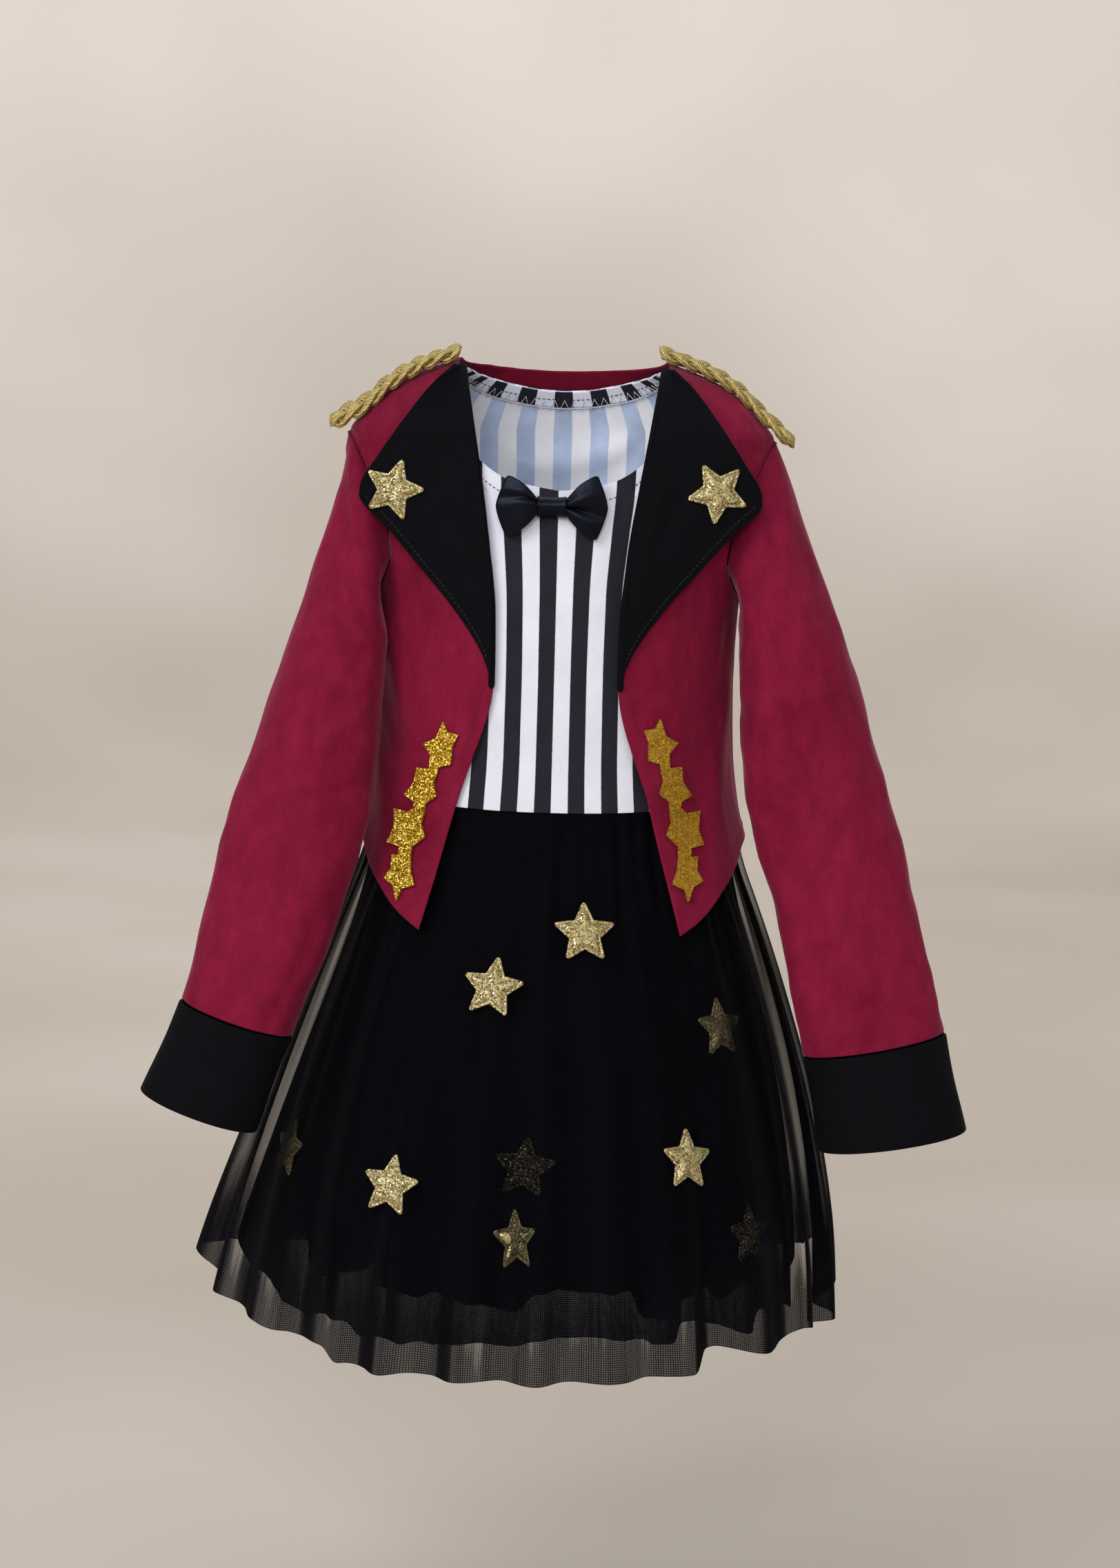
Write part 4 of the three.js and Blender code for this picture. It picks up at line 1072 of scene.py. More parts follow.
def resample(path, step):
    along = np.concatenate([[0], np.cumsum(np.linalg.norm(np.diff(path, axis=0), axis=1))])
    count = max(2, int(round(along[-1] / step)))
    at = np.linspace(0, along[-1], count + 1)
    return np.stack([np.interp(at, along, path[:, k]) for k in range(3)], -1)


def stitch_row(path, out, pitch=3.0, length=2.2, radius=0.26):
    """Tubes of a row of short stitches along a path, which bulge out of the cloth."""
    marks = resample(path, pitch)
    outs = np.stack([np.interp(np.linspace(0, 1, len(marks)), np.linspace(0, 1, len(out)), out[:, k])
                     for k in range(3)], -1)
    tubes = []
    for here, after, normal in zip(marks[:-1], marks[1:], outs[:-1]):
        t = np.linspace(0, length / pitch, 6)[:, None]
        arc = np.sin(np.linspace(0, np.pi, 6))[:, None]
        stitch = here + (after - here) * t + normal * (0.35 * arc - 0.1)
        tubes.append(tube(stitch, radius, sides=6, up=normal))
    return tubes


def along_edge(place, edge, inset, span=(0.0, 1.0), lift=0.0, count=160):
    """A path on a cloth beside one of its edges, and the way the cloth faces along it.

    edge is "u0", "u1", "v0" or "v1".
    """
    s = np.linspace(*span, count)
    fixed = np.full(count, float(edge[1]))
    inward = 0.02 if edge[1] == "0" else -0.02

    def at(shift):
        moved = fixed + shift
        return (moved, s) if edge[0] == "u" else (s, moved)

    zero = np.zeros(count)
    reach = np.linalg.norm(place(*at(inward), zero) - place(*at(0), zero), axis=-1) / abs(inward)
    shift = np.sign(inward) * inset / np.maximum(reach, 1)
    path = place(*at(shift), zero + lift)
    return path, (place(*at(shift), zero + 1) - place(*at(shift), zero))


# Materials


def rgb(red, green, blue):
    """A colour from its sRGB values."""
    return [((c / 255 + 0.055) / 1.055) ** 2.4 if c > 10 else c / 255 / 12.92 for c in (red, green, blue)]


class Shader:
    """A material's nodes round one Principled BSDF. Plain numbers go straight on its sockets."""

    def __init__(self, name, **principled):
        self.material = bpy.data.materials.new(name)
        self.material.use_nodes = True
        self.tree = self.material.node_tree
        self.skin = self.tree.nodes["Principled BSDF"]
        self.set(**principled)
        self.here = self.add("TexCoord").outputs["Object"]
        self.cloth = self.add("UVMap", uv_map="cloth").outputs["UV"]

    def set(self, **principled):
        for key, value in principled.items():
            self.put(self.skin, key.replace("_", " ").title().replace("Ior", "IOR"), value)

    def put(self, node, key, value):
        socket = node.inputs[key]
        if isinstance(value, bpy.types.NodeSocket):
            self.tree.links.new(value, socket)
        elif socket.type == "RGBA" and len(value) == 3:
            socket.default_value = [*value, 1]
        else:
            socket.default_value = value

    def add(self, kind, inputs=None, **properties):
        node = self.tree.nodes.new("ShaderNode" + kind)
        for key, value in properties.items():
            setattr(node, key, value)
        for key, value in (inputs or {}).items():
            self.put(node, key, value)
        return node

    def noise(self, scale, where=None, detail=2.0, roughness=0.5):
        where = where or self.here
        inputs = {"Vector": where, "Scale": scale, "Detail": detail, "Roughness": roughness}
        return self.add("TexNoise", inputs).outputs[0]

    def maths(self, operation, a, b=0.0, c=0.0, **properties):
        return self.add("Math", {0: a, 1: b, 2: c}, operation=operation, **properties).outputs[0]

    def spread(self, value, low, high, to_low=0.0, to_high=1.0):
        """value, from low to high, moved to the range from to_low to to_high."""
        inputs = {0: value, 1: low, 2: high, 3: to_low, 4: to_high}
        return self.add("MapRange", inputs).outputs[0]

    def blend(self, share, first, second):
        inputs = {"Factor": share, "A": first, "B": second}
        node = self.tree.nodes.new("ShaderNodeMix")
        node.data_type = "RGBA"
        for key, socket in (("Factor", node.inputs[0]), ("A", node.inputs[6]), ("B", node.inputs[7])):
            value = inputs[key]
            if isinstance(value, bpy.types.NodeSocket):
                self.tree.links.new(value, socket)
            else:
                socket.default_value = value if key == "Factor" else [*value, 1]
        return node.outputs[2]

    def bump(self, height, distance, strength=1.0, normal=None):
        inputs = {"Height": height, "Distance": distance, "Strength": strength}
        if normal:
            inputs["Normal"] = normal
        return self.add("Bump", inputs).outputs[0]

    def stretched(self, where, x, y, z=1.0):
        return self.add("Mapping", {"Vector": where, "Scale": (x, y, z)}).outputs[0]


def velvet(name, dark, lit, sheen, tint):
    """Short nap: blotches of painted sheen and shade, blended from a dark to a lit tone, as where it lies another
    way, and a fine pile.
    """
    shader = Shader(name, roughness=0.85, sheen_weight=sheen, sheen_roughness=0.35)
    shader.put(shader.skin, "Sheen Tint", tint)
    shader.put(shader.skin, "Specular IOR Level", 0.12)
    broad = shader.noise(13, shader.stretched(shader.here, 1, 1, 0.5), detail=4, roughness=0.6)
    small = shader.noise(90, shader.stretched(shader.here, 1, 1, 0.6), detail=3, roughness=0.6)
    fine = shader.noise(700, detail=1)
    # Painted sheen and shade: broad, small and fine noise blend the base colour from the shaded tone to the lit
    # one.
    nap_sheen_and_shade = shader.maths(
        "ADD",
        shader.spread(broad, 0.3, 0.7, 0.26, 0.64),
        shader.maths("ADD", shader.spread(small, 0.3, 0.7, -0.16, 0.16), shader.spread(fine, 0.2, 0.8, -0.1, 0.1)),
    )
    shader.put(shader.skin, "Base Color", shader.blend(nap_sheen_and_shade, dark, lit))
    pile = shader.bump(shader.noise(1800, detail=1), 0.0003, 0.4)
    crushed = shader.bump(shader.noise(60, shader.stretched(shader.here, 1, 1, 0.5), detail=5), 0.0022, 0.5, pile)
    shader.put(shader.skin, "Normal", crushed)
    return shader.material


def jersey(name, black, white, through=0.0):
    """Printed stripes that run down the cloth, on a fine knit. through is light from behind it."""
    shader = Shader(name, roughness=0.78, subsurface_weight=through)
    shader.put(shader.skin, "Subsurface Radius", (0.002, 0.002, 0.002))
    shader.put(shader.skin, "Specular IOR Level", 0.2)
    split = shader.add("SeparateXYZ", {0: shader.cloth})
    wobble = shader.maths("MULTIPLY", shader.noise(900, detail=1), 0.0003)
    across = shader.maths("ADD", split.outputs[0], wobble)
    period = STRIPE_PERIOD * MM
    place = shader.maths("PINGPONG", across, period / 2)
    stripe = shader.spread(place, period * 0.25 - 0.0002, period * 0.25 + 0.0002)
    cloudy = shader.noise(60, detail=3)
    inky = shader.blend(shader.spread(cloudy, 0.3, 0.7), black, [c * 1.35 for c in black])
    paper = shader.blend(shader.spread(cloudy, 0.3, 0.7), white, [c * 0.93 for c in white])
    shader.put(shader.skin, "Base Color", shader.blend(stripe, inky, paper))
    wales = shader.maths("SINE", shader.maths("MULTIPLY", split.outputs[0], 2 * math.pi / 0.0009))
    courses = shader.maths("SINE", shader.maths("MULTIPLY", split.outputs[1], 2 * math.pi / 0.0007))
    knit = shader.maths("MULTIPLY_ADD", courses, 0.5, wales)
    shader.put(shader.skin, "Normal", shader.bump(knit, 0.0001, 0.35))
    return shader.material


def net(name, colour, alpha, hem_alpha=None):
    """Tulle: cells of air between dark threads, thinner in streaks towards its hem."""
    shader = Shader(name, base_color=colour, roughness=0.8)
    shader.put(shader.skin, "Specular IOR Level", 0.06)
    down = shader.maths("MULTIPLY", shader.add("SeparateXYZ", {0: shader.cloth}).outputs[1], 1 / NET_DROP)
    cells = shader.add(
        "TexVoronoi", {"Vector": shader.cloth, "Scale": 1 / 0.0013, "Randomness": 0.25},
        feature="DISTANCE_TO_EDGE", voronoi_dimensions="2D",
    )
    thread = shader.spread(cells.outputs["Distance"], 0.05, 0.3, 0.14, -0.1)
    streaks = shader.noise(70, shader.stretched(shader.cloth, 1, 0.05), detail=4, roughness=0.65)
    cover = shader.spread(streaks, 0.3, 0.7, alpha - 0.06, alpha + 0.06)
    if hem_alpha:
        ragged = shader.maths("ADD", down, shader.spread(streaks, 0.3, 0.7, -0.09, 0.09))
        near_hem = shader.spread(ragged, 0.8, 0.92)
        cover = shader.maths("ADD", cover, shader.maths("MULTIPLY", near_hem, hem_alpha - alpha))
    edge_on = shader.add("LayerWeight", {"Blend": 0.5}).outputs["Facing"]
    air = shader.maths("SUBTRACT", 1, shader.maths("ADD", thread, cover), use_clamp=True)
    air = shader.maths("POWER", air, shader.spread(edge_on, 0.3, 0.8, 1, 6))
    shader.put(shader.skin, "Alpha", shader.maths("SUBTRACT", 1, air))
    return shader.material


def lining(name, colour):
    shader = Shader(name, roughness=0.8)
    shader.put(shader.skin, "Specular IOR Level", 0.08)
    cloudy = shader.spread(shader.noise(30, detail=3), 0.3, 0.7)
    shader.put(shader.skin, "Base Color", shader.blend(cloudy, colour, [c * 1.6 for c in colour]))
    weave = shader.noise(2400, shader.stretched(shader.cloth, 1, 0.2), detail=1)
    shader.put(shader.skin, "Normal", shader.bump(weave, 0.0001, 0.3))
    return shader.material


def satin(name, dark, lit):
    shader = Shader(name, roughness=0.42)
    shader.put(shader.skin, "Specular IOR Level", 0.22)
    shader.put(shader.skin, "Specular Tint", (0.6, 0.7, 1, 1))
    shader.put(shader.skin, "Anisotropic", 0.4)
    streaks = shader.noise(700, shader.stretched(shader.cloth, 0.08, 1), detail=2)
    # The streaks are the weave in the bump; in the base colour they are painted sheen, from the dark tone to the
    # lit one.
    shader.put(shader.skin, "Base Color", shader.blend(shader.spread(streaks, 0.3, 0.7), dark, lit))
    shader.put(shader.skin, "Normal", shader.bump(streaks, 0.00012, 0.35))
    return shader.material


def glitter(name, dark, mid, painted_glint, cell):
    """Flakes of foil, each tilted its own way, with painted shade on the darkest flakes and painted glints on the
    brightest, over the foil's own colour.
    """
    shader = Shader(name, metallic=0.6)
    flakes = shader.add("TexVoronoi", {"Vector": shader.here, "Scale": 1 / cell, "Randomness": 1.0})
    colour = flakes.outputs["Color"]
    split = shader.add("SeparateColor", {0: colour})
    pick = split.outputs[0]
    # The ramp paints random flakes: the dark colour is painted shade, the last one painted glints, the middle one
    # the foil's own colour.
    ramp = shader.add("ValToRGB", {0: pick})
    stops = ramp.color_ramp.elements
    stops[0].position, stops[0].color = 0.0, [*dark, 1]
    stops[1].position, stops[1].color = 1.0, [*painted_glint, 1]
    for place, tone in ((0.25, dark), (0.4, mid), (0.7, mid)):
        stop = stops.new(place)
        stop.color = [*tone, 1]
    shader.put(shader.skin, "Base Color", ramp.outputs[0])
    shader.put(shader.skin, "Roughness", shader.spread(split.outputs[1], 0, 1, 0.22, 0.55))
    tilt = shader.add("VectorMath", {0: colour, 1: (0.5, 0.5, 0.5)}, operation="SUBTRACT").outputs[0]
    tilt = shader.add("VectorMath", {0: tilt, "Scale": 0.95}, operation="SCALE").outputs[0]
    base = shader.add("NewGeometry").outputs["Normal"]
    tilted = shader.add("VectorMath", {0: base, 1: tilt}, operation="ADD").outputs[0]
    shader.put(shader.skin, "Normal", shader.add("VectorMath", {0: tilted}, operation="NORMALIZE").outputs[0])
    return shader.material


def metal_cord(name, dark, lit):
    """Metallic thread: fine strands along the twist, paler where they catch the light."""
    shader = Shader(name, metallic=0.7, roughness=0.4)
    split = shader.add("SeparateXYZ", {0: shader.cloth})
    wound = shader.maths("MULTIPLY_ADD", split.outputs[1], 2 * math.pi / 0.0011, 0.0)
    around = shader.maths("MULTIPLY", split.outputs[0], 2 * math.pi * 3)
    strands = shader.maths("SINE", shader.maths("ADD", wound, around))
    rough = shader.spread(shader.noise(1500, detail=2), 0.3, 0.7, -0.5, 0.5)
    tone = shader.spread(shader.maths("ADD", strands, rough), -1.2, 1.2)
    shader.put(shader.skin, "Base Color", shader.blend(tone, dark, lit))
    shader.put(shader.skin, "Normal", shader.bump(tone, 0.00025, 0.6))
    return shader.material


def plain_thread(name, dark, lit, metallic=0.0):
    shader = Shader(name, roughness=0.6, metallic=metallic)
    twist = shader.noise(1800, detail=1)
    # The twist is in the bump; in the base colour it is painted shade and highlight, from the dark tone to the lit
    # one.
    shader.put(shader.skin, "Base Color", shader.blend(shader.spread(twist, 0.35, 0.65), dark, lit))
    shader.put(shader.skin, "Normal", shader.bump(twist, 0.0001, 0.5))
    return shader.material


# Each velvet's first colour is its shaded tone and its second its lit tone; its blotches are painted shade and
# sheen between them.
BURGUNDY = velvet("burgundy_velvet", rgb(92, 2, 30), rgb(144, 26, 62), 0.28, (0.95, 0.36, 0.55, 1))
BURGUNDY_BACK = velvet("burgundy_inside", rgb(96, 8, 34), rgb(126, 20, 50), 0.1, (0.8, 0.3, 0.4, 1))
BLACK_VELVET = velvet("black_velvet", rgb(1, 1, 4), rgb(4, 5, 13), 0.008, (0.3, 0.45, 1, 1))
STRIPES = jersey("striped_jersey", rgb(26, 27, 35), rgb(226, 228, 240))
STRIPES_INSIDE = jersey("striped_jersey_inside", rgb(176, 190, 214), rgb(250, 248, 255), 0.35)
OUTER_NET = net("outer_net", rgb(6, 6, 11), 0.46, 0.87)
UNDER_NET = net("under_net", rgb(3, 3, 9), 0.97, 0.93)
LINING = lining("skirt_lining", rgb(1, 1, 4))
SATIN_BLACK = satin("bow_satin", rgb(1, 1, 4), rgb(5, 5, 10))
PALE_GLITTER = glitter("pale_glitter", rgb(112, 92, 44), rgb(198, 182, 124), rgb(255, 253, 222), 0.0007)
# Painted shade: the stars under the net get the pale glitter darkened, standing for the net's shade over them.
NET_SHADED_GLITTER = glitter("net_shaded_glitter", rgb(12, 10, 8), rgb(38, 34, 26), rgb(190, 176, 120), 0.0007)
DEEP_GLITTER = glitter("deep_glitter", rgb(136, 92, 4), rgb(190, 146, 22), rgb(255, 228, 110), 0.0006)
CHAIN_SIDE = plain_thread("chain_side", rgb(120, 110, 98), rgb(168, 158, 142))
GOLD_CORD = metal_cord("gold_cord", rgb(84, 64, 20), rgb(238, 216, 140))
DARK_RED_THREAD = plain_thread("dark_red_thread", rgb(62, 4, 18), rgb(104, 14, 38))
BLACK_THREAD = plain_thread("black_thread", rgb(8, 8, 10), rgb(30, 30, 36))
WHITE_THREAD = plain_thread("white_thread", rgb(190, 190, 200), rgb(236, 236, 240))


# Pieces


def finish_piece(piece, slot, node=None):
    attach(piece, "root")
    if node:
        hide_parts(node)
    return piece


def cloth_area(piece):
    """Half the piece's surface, in square metres: one side of its cloth."""
    return sum(face.area for face in piece.data.polygons) / 2


def stitched(name, rows, material, slot):
    """One piece from several rows of stitches."""
    tubes = [one for path, out in rows for one in stitch_row(path, out)]
    return finish_piece(joined_tubes(name, tubes, material), slot)


def make_jacket():
    velvet_sides = (BURGUNDY, BURGUNDY_BACK)
    back = wall("jacket_back_cloth", jacket_back, VELVET, BACK_SIZE, (110, 130), materials=velvet_sides)
    finish_piece(back, "velvet", "jacket_back")
    hem, neck = along_edge(jacket_back, "v0", TOPSTITCH), along_edge(jacket_back, "v1", 5)
    thread = stitched("jacket_back_stitches", [hem, neck], DARK_RED_THREAD, "velvet")
    for side in SIDES:
        place = jacket_front(side)
        name = f"jacket_front_{side}"
        front = wall(f"{name}_cloth", place, VELVET, FRONT_SIZE, (70, 150), materials=velvet_sides)
        finish_piece(front, "velvet", name)
        rows = [
            along_edge(place, "u1", TOPSTITCH, (0.02, BREAK_SHARE)),
            along_edge(place, "v0", TOPSTITCH, (0.01, 0.94)),
        ]
        thread = stitched(f"{name}_stitches", rows, DARK_RED_THREAD, "velvet")
        make_lapel(side)
        make_sleeve(side)


def make_lapel(side):
    place = lapel(side)
    name = f"lapel_{side}"
    piece = wall(
        f"{name}_cloth", place, VELVET + LAPEL_GAP, LAPEL_SIZE, (60, 90), materials=(BLACK_VELVET,) * 2
    )
    finish_piece(piece, "black_velvet", name)
    rows = [along_edge(place, "v0", 6, (0.06, 0.95))]
    thread = stitched(f"{name}_stitches", rows, BLACK_THREAD, "black_velvet")
    path, out = along_edge(
        jacket_front(side), "u1", ROLL.inset, (BREAK_SHARE - 0.012, 0.998), ROLL.lift
    )
    roll = joined_tubes(f"{name}_roll", [tube(path, ROLL.radius, 14, up=out)], BLACK_VELVET)
    finish_piece(roll, "black_velvet")


def make_sleeve(side):
    name = f"sleeve_{side}"
    piece = wall(
        f"{name}_cloth", sleeve(side), VELVET, SLEEVE_SIZE, (110, 165), closed=True,
        materials=(BURGUNDY, BURGUNDY_BACK),
    )
    finish_piece(piece, "velvet", name)
    name = f"cuff_{side}"
    place = cuff(side)
    turned = wall(
        f"{name}_cloth", place, VELVET + 0.4, (200, 60), (130, 24), closed=True,
        materials=(BLACK_VELVET,) * 2,
    )
    finish_piece(turned, "black_velvet", name)


def make_bodice():
    pieces = {}
    for face in ("front", "back"):
        def uv_of(u, v, face=face):
            angle, z = np.moveaxis(bodice_shares(face, u, v), -1, 0)
            return points(stripe_place(face, angle), z)

        name = f"bodice_{face}"
        pieces[face] = wall(
            f"{name}_cloth", bodice(face), JERSEY, BODICE_SIZE, (100, 100), uv_of=uv_of,
            materials=(STRIPES, STRIPES_INSIDE),
        )
        finish_piece(pieces[face], "striped_jersey", name)

    def facing_uv(u, v):
        on_front = u < 0.5
        share = np.where(on_front, 1 - 2 * u, 2 * u - 1)
        behind = 1 - (1 - v) * FACING_WIDTH / BODICE_SIZE[1]
        found = []
        for face in ("front", "back"):
            edge, here = (
                stripe_place(face, bodice_shares(face, share, at)[..., 0])
                for at in (np.ones_like(u), behind)
            )
            found.append(2 * edge - here)
        return points(np.where(on_front, *found) / FACING_STRETCH, v * FACING_WIDTH)

    facing = wall(
        "neck_facing_cloth", neck_facing, JERSEY * 0.7, (380, FACING_WIDTH), (240, 6),
        uv_of=facing_uv, closed=True, materials=(STRIPES,) * 2,
    )
    finish_piece(facing, "striped_jersey", "neck_facing")
    rows = [along_edge(bodice(face), "v1", FACING_WIDTH - 1, lift=0.05) for face in ("front", "back")]
    outside = stitched("neckline_stitches", rows, BLACK_THREAD, "striped_jersey")
    inside = make_serging()


def make_serging():
    """White overlock thread over the lower edge of the turned hem, with a black row above it."""
    count = 240
    u = np.linspace(0, 1, count)
    up = np.where(np.arange(count) % 2 == 0, -0.2, 0.5)
    out = -JERSEY * 0.7 - 0.25
    zigzag = neck_facing(u, up, np.full(count, out))
    edge = neck_facing(u, np.full(count, -0.05), np.full(count, out))
    seam = neck_facing(u, np.full(count, 0.52), np.full(count, out + 0.1))
    inward = neck_facing(u, np.full(count, 0.52), np.full(count, out - 0.9)) - seam
    tubes = [tube(zigzag, 0.34, sides=6), tube(edge, 0.3, sides=6)]
    white = finish_piece(joined_tubes("neckline_serging", tubes, WHITE_THREAD), "striped_jersey")
    black = stitched("neckline_inner_stitches", [(seam, inward)], BLACK_THREAD, "striped_jersey")
    black.parent = white
    return white


def make_bow():
    wings = []
    for side in SIDES:
        wing = wall(
            f"bow_wing_{side}_cloth", bow_wing(side), SATIN, (70, 35), (70, 36),
            materials=(SATIN_BLACK,) * 2,
        )
        finish_piece(wing, "black_satin", "bow")
        wings.append(wing)
    knot = wall(
        "bow_knot_cloth", bow_knot, SATIN, (46, 11), (60, 12), closed=True, materials=(SATIN_BLACK,) * 2
    )
    finish_piece(knot, "black_satin", "bow")


def make_skirt():
    finishes = {
        "skirt_outer_net": (OUTER_NET, "black_net", (720, 90), (1.1, 0.33), "gathered"),
        "skirt_under_net": (UNDER_NET, "black_net", (480, 60), (0.98, 0.31), "gathered"),
        "skirt_lining": (LINING, "black_lining", (400, 48), (0.9, 0.28), "gathered"),
    }
    for name, (material, slot, (columns, rows), flat, held) in finishes.items():
        angle, down = np.meshgrid(np.linspace(-180, 180, columns + 1)[:-1], np.linspace(0, 1, rows + 1))
        verts = skirt_point(name, angle, down)
        index = np.arange(angle.size).reshape(angle.shape)
        after = np.roll(index, -1, axis=1)
        quads = np.stack([index[:-1], index[1:], after[1:], after[:-1]], -1).reshape(-1, 4)
        uvs = points(np.radians(angle) * 0.19, down * NET_DROP).reshape(-1, 2)
        piece = mesh(f"{name}_cloth", verts.reshape(-1, 3), quads, uvs)
        piece.data.materials.append(material)
        finish_piece(piece, slot, name)


# Stars


FOLDED_STAR = SimpleNamespace(
    angle=-4.5, down=0.8, lean=-0.12, ahead=7, fold=SimpleNamespace(share=0.7, rise=0.3)
)
# These stars' glitter is painted darker, as the shade of the net over them.
VEILED_STARS = ("skirt_star_7", "skirt_star_8")  # nearly hidden by the net over them
STAR_TIP_RADIUS = 1.5
STAR_NOTCH = 9.7
STAR_SHARP = 20.3  # how far out a tip would reach if it weren't rounded
STAR_RINGS = [  # share of the outline, and height over the back: rim, pressed groove, padding
    [0.03, 0],
    [0.95, 0],
    [1, 0.25],
    [1.01, 0.8],
    [0.985, 1.25],
    [0.93, 1.5],
    [0.875, 1.4],
    [0.85, 0.6],
    [0.82, 0.6],
    [0.79, 1.6],
    [0.7, 2.6],
    [0.58, 3.4],
    [0.42, 3.85],
    [0.22, 4],
    [0.03, 4],
]


def star_outline():
    """Angles from the top tip round, and how far the star with rounded tips reaches there."""
    sector = 2 * np.pi / 5
    half = np.radians([0, 1, 2, 3, 4.4, 6, 8.5, 11.5, 15, 20, 25, 31, 36])
    edge = np.array(
        [STAR_NOTCH * math.cos(sector / 2) - STAR_SHARP, STAR_NOTCH * math.sin(sector / 2)]
    )
    tip_angle = math.atan2(edge[1], -edge[0])
    middle = STAR_SHARP - STAR_TIP_RADIUS / math.sin(tip_angle)
    turn = math.atan2(
        STAR_TIP_RADIUS * math.cos(tip_angle), middle + STAR_TIP_RADIUS * math.sin(tip_angle)
    )
    straight = STAR_SHARP * edge[1] / (np.cos(half) * edge[1] - np.sin(half) * edge[0])
    inside = np.maximum(0, STAR_TIP_RADIUS**2 - (middle * np.sin(half)) ** 2)
    reach = np.where(half <= turn, middle * np.cos(half) + np.sqrt(inside), straight)
    angles = np.concatenate([half, sector - half[-2:0:-1]])
    reaches = np.concatenate([reach, reach[-2:0:-1]])
    return (np.arange(5)[:, None] * sector + angles).ravel(), np.tile(reaches, 5)


def star_mesh(name, origin, right, up, out, material, fold=None):
    """A padded star with a pressed rim, laid on a plane that faces out.

    fold is how far a star that is folded on its upright axis stands off that plane.
    """
    around, outline = star_outline()
    scale, height = np.array(STAR_RINGS).T
    reach = scale[:, None] * outline
    x, y = reach * np.sin(around), reach * np.cos(around)
    soft = ripples(x, y, 5, 14, 0.14) * (height[:, None] > 1.5)
    ridge = 0.25 * np.cos(5 * around) * np.sin(np.pi * clamp(scale))[:, None] ** 2
    z = height[:, None] + (ridge + soft) * (height[:, None] > 1)
    if fold:
        x, z = x * fold.share, z + np.abs(x) * fold.rise
    verts = origin + x[..., None] * right + y[..., None] * up + z[..., None] * out
    rows, across = x.shape
    index = np.arange(rows * across).reshape(rows, across)
    after = np.roll(index, -1, axis=1)
    quads = [np.stack([index[:-1], after[:-1], after[1:], index[1:]], -1).reshape(-1, 4)]
    for row in (index[0], index[-1]):
        quads.append(np.array([[row[0], row[k], row[k + 1], row[k + 2]] for k in range(1, across - 2, 2)]))
    star = mesh(name, verts.reshape(-1, 3), np.concatenate(quads), points(x, y).reshape(-1, 2) * MM)
    tidy_mesh(star)
    star.data.materials.append(material)
    return star


def plane_of(node):
    """A flat-backed star's centre, and its right, up and outward directions, from its solid."""
    corners = np.array([v.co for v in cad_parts[node].data.vertices]) / MM
    _, _, axes = np.linalg.svd(corners - corners.mean(0))
    out = axes[2] * (1 if axes[2][1] < 0 else -1)
    depth = corners @ out
    back = corners[depth < depth.min() + 0.05]
    rim = corners[depth < depth.min() + 1.5]
    reach = np.linalg.norm(rim - rim.mean(0), axis=1)
    tips = rim[reach > reach.max() * 0.93]
    centre = tips.mean(0) - out * ((tips.mean(0) - back.mean(0)) @ out)
    top = tips[tips[:, 2].argmax()]
    near = tips[np.linalg.norm(tips - top, axis=1) < 6]
    up = near.mean(0) - centre
    up -= out * (up @ out)
    up /= np.linalg.norm(up)
    return centre, np.cross(up, out), up, out


def make_star(node):
    material = NET_SHADED_GLITTER if node in VEILED_STARS else PALE_GLITTER
    star = star_mesh(f"{node}_padded", *plane_of(node), material)
    finish_piece(star, "glitter", node)
    return star


def make_folded_star():
    """One more star, folded on its upright axis in the gathers between the two nets."""
    angle, down = np.radians(FOLDED_STAR.angle), np.array(FOLDED_STAR.down)

    def net_point(turn, share):
        return skirt_point("skirt_under_net", np.degrees(turn), share)

    out = normal_at(net_point, angle, down)
    out *= -np.sign(out[1])
    up = np.array([math.sin(FOLDED_STAR.lean), 0, math.cos(FOLDED_STAR.lean)])
    up -= out * (up @ out)
    up /= np.linalg.norm(up)
    origin = net_point(angle, down) + out * FOLDED_STAR.ahead
    star = star_mesh(
        "folded_star_padded", origin, np.cross(up, out), up, out, PALE_GLITTER, FOLDED_STAR.fold
    )
    finish_piece(star, "glitter")


def make_chain(node):
    """The chain keeps its solid's form, with a dark cut side."""
    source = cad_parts[node]
    piece = source.copy()
    piece.data = source.data.copy()
    piece.name = piece.data.name = f"{node}_sheet"
    for key in list(piece.keys()):
        del piece[key]
    piece.parent = None
    bpy.context.scene.collection.objects.link(piece)
    work = bmesh.new()
    work.from_mesh(piece.data)
    bmesh.ops.remove_doubles(work, verts=work.verts, dist=1e-5)
    bmesh.ops.recalc_face_normals(work, faces=work.faces)
    facing = Vector()
    for face in work.faces:
        if face.normal.y < 0:
            facing += face.normal * face.calc_area()
    facing.normalize()
    for face in work.faces:
        face.material_index = 0 if face.normal.dot(facing) > 0.6 else 1
        face.smooth = False
    work.to_mesh(piece.data)
    work.free()
    piece.data.materials.clear()
    for material in (DEEP_GLITTER, CHAIN_SIDE):
        piece.data.materials.append(material)
    return finish_piece(piece, "deep_glitter", node)


# Epaulettes

PLAIT = SimpleNamespace(outer_x=138, half_spread=4.6, rise=2.2, turns=2.4, free=116, thickness=4)
PLAIT_PLACE = {
    "right": SimpleNamespace(inner_x=63, forward=12, height=3.6, droop=0.56),
    "left": SimpleNamespace(inner_x=58, forward=7, height=3.1, droop=0.9),
}
CORD_RADIUS = 1.15
# Of a strand's pairs of cords: how far each is from its middle, and from its underside
STRAND_CORDS = ((2.9, PLAIT.thickness - CORD_RADIUS), (1.0, PLAIT.thickness - CORD_RADIUS + 0.3),
                (1.95, CORD_RADIUS))


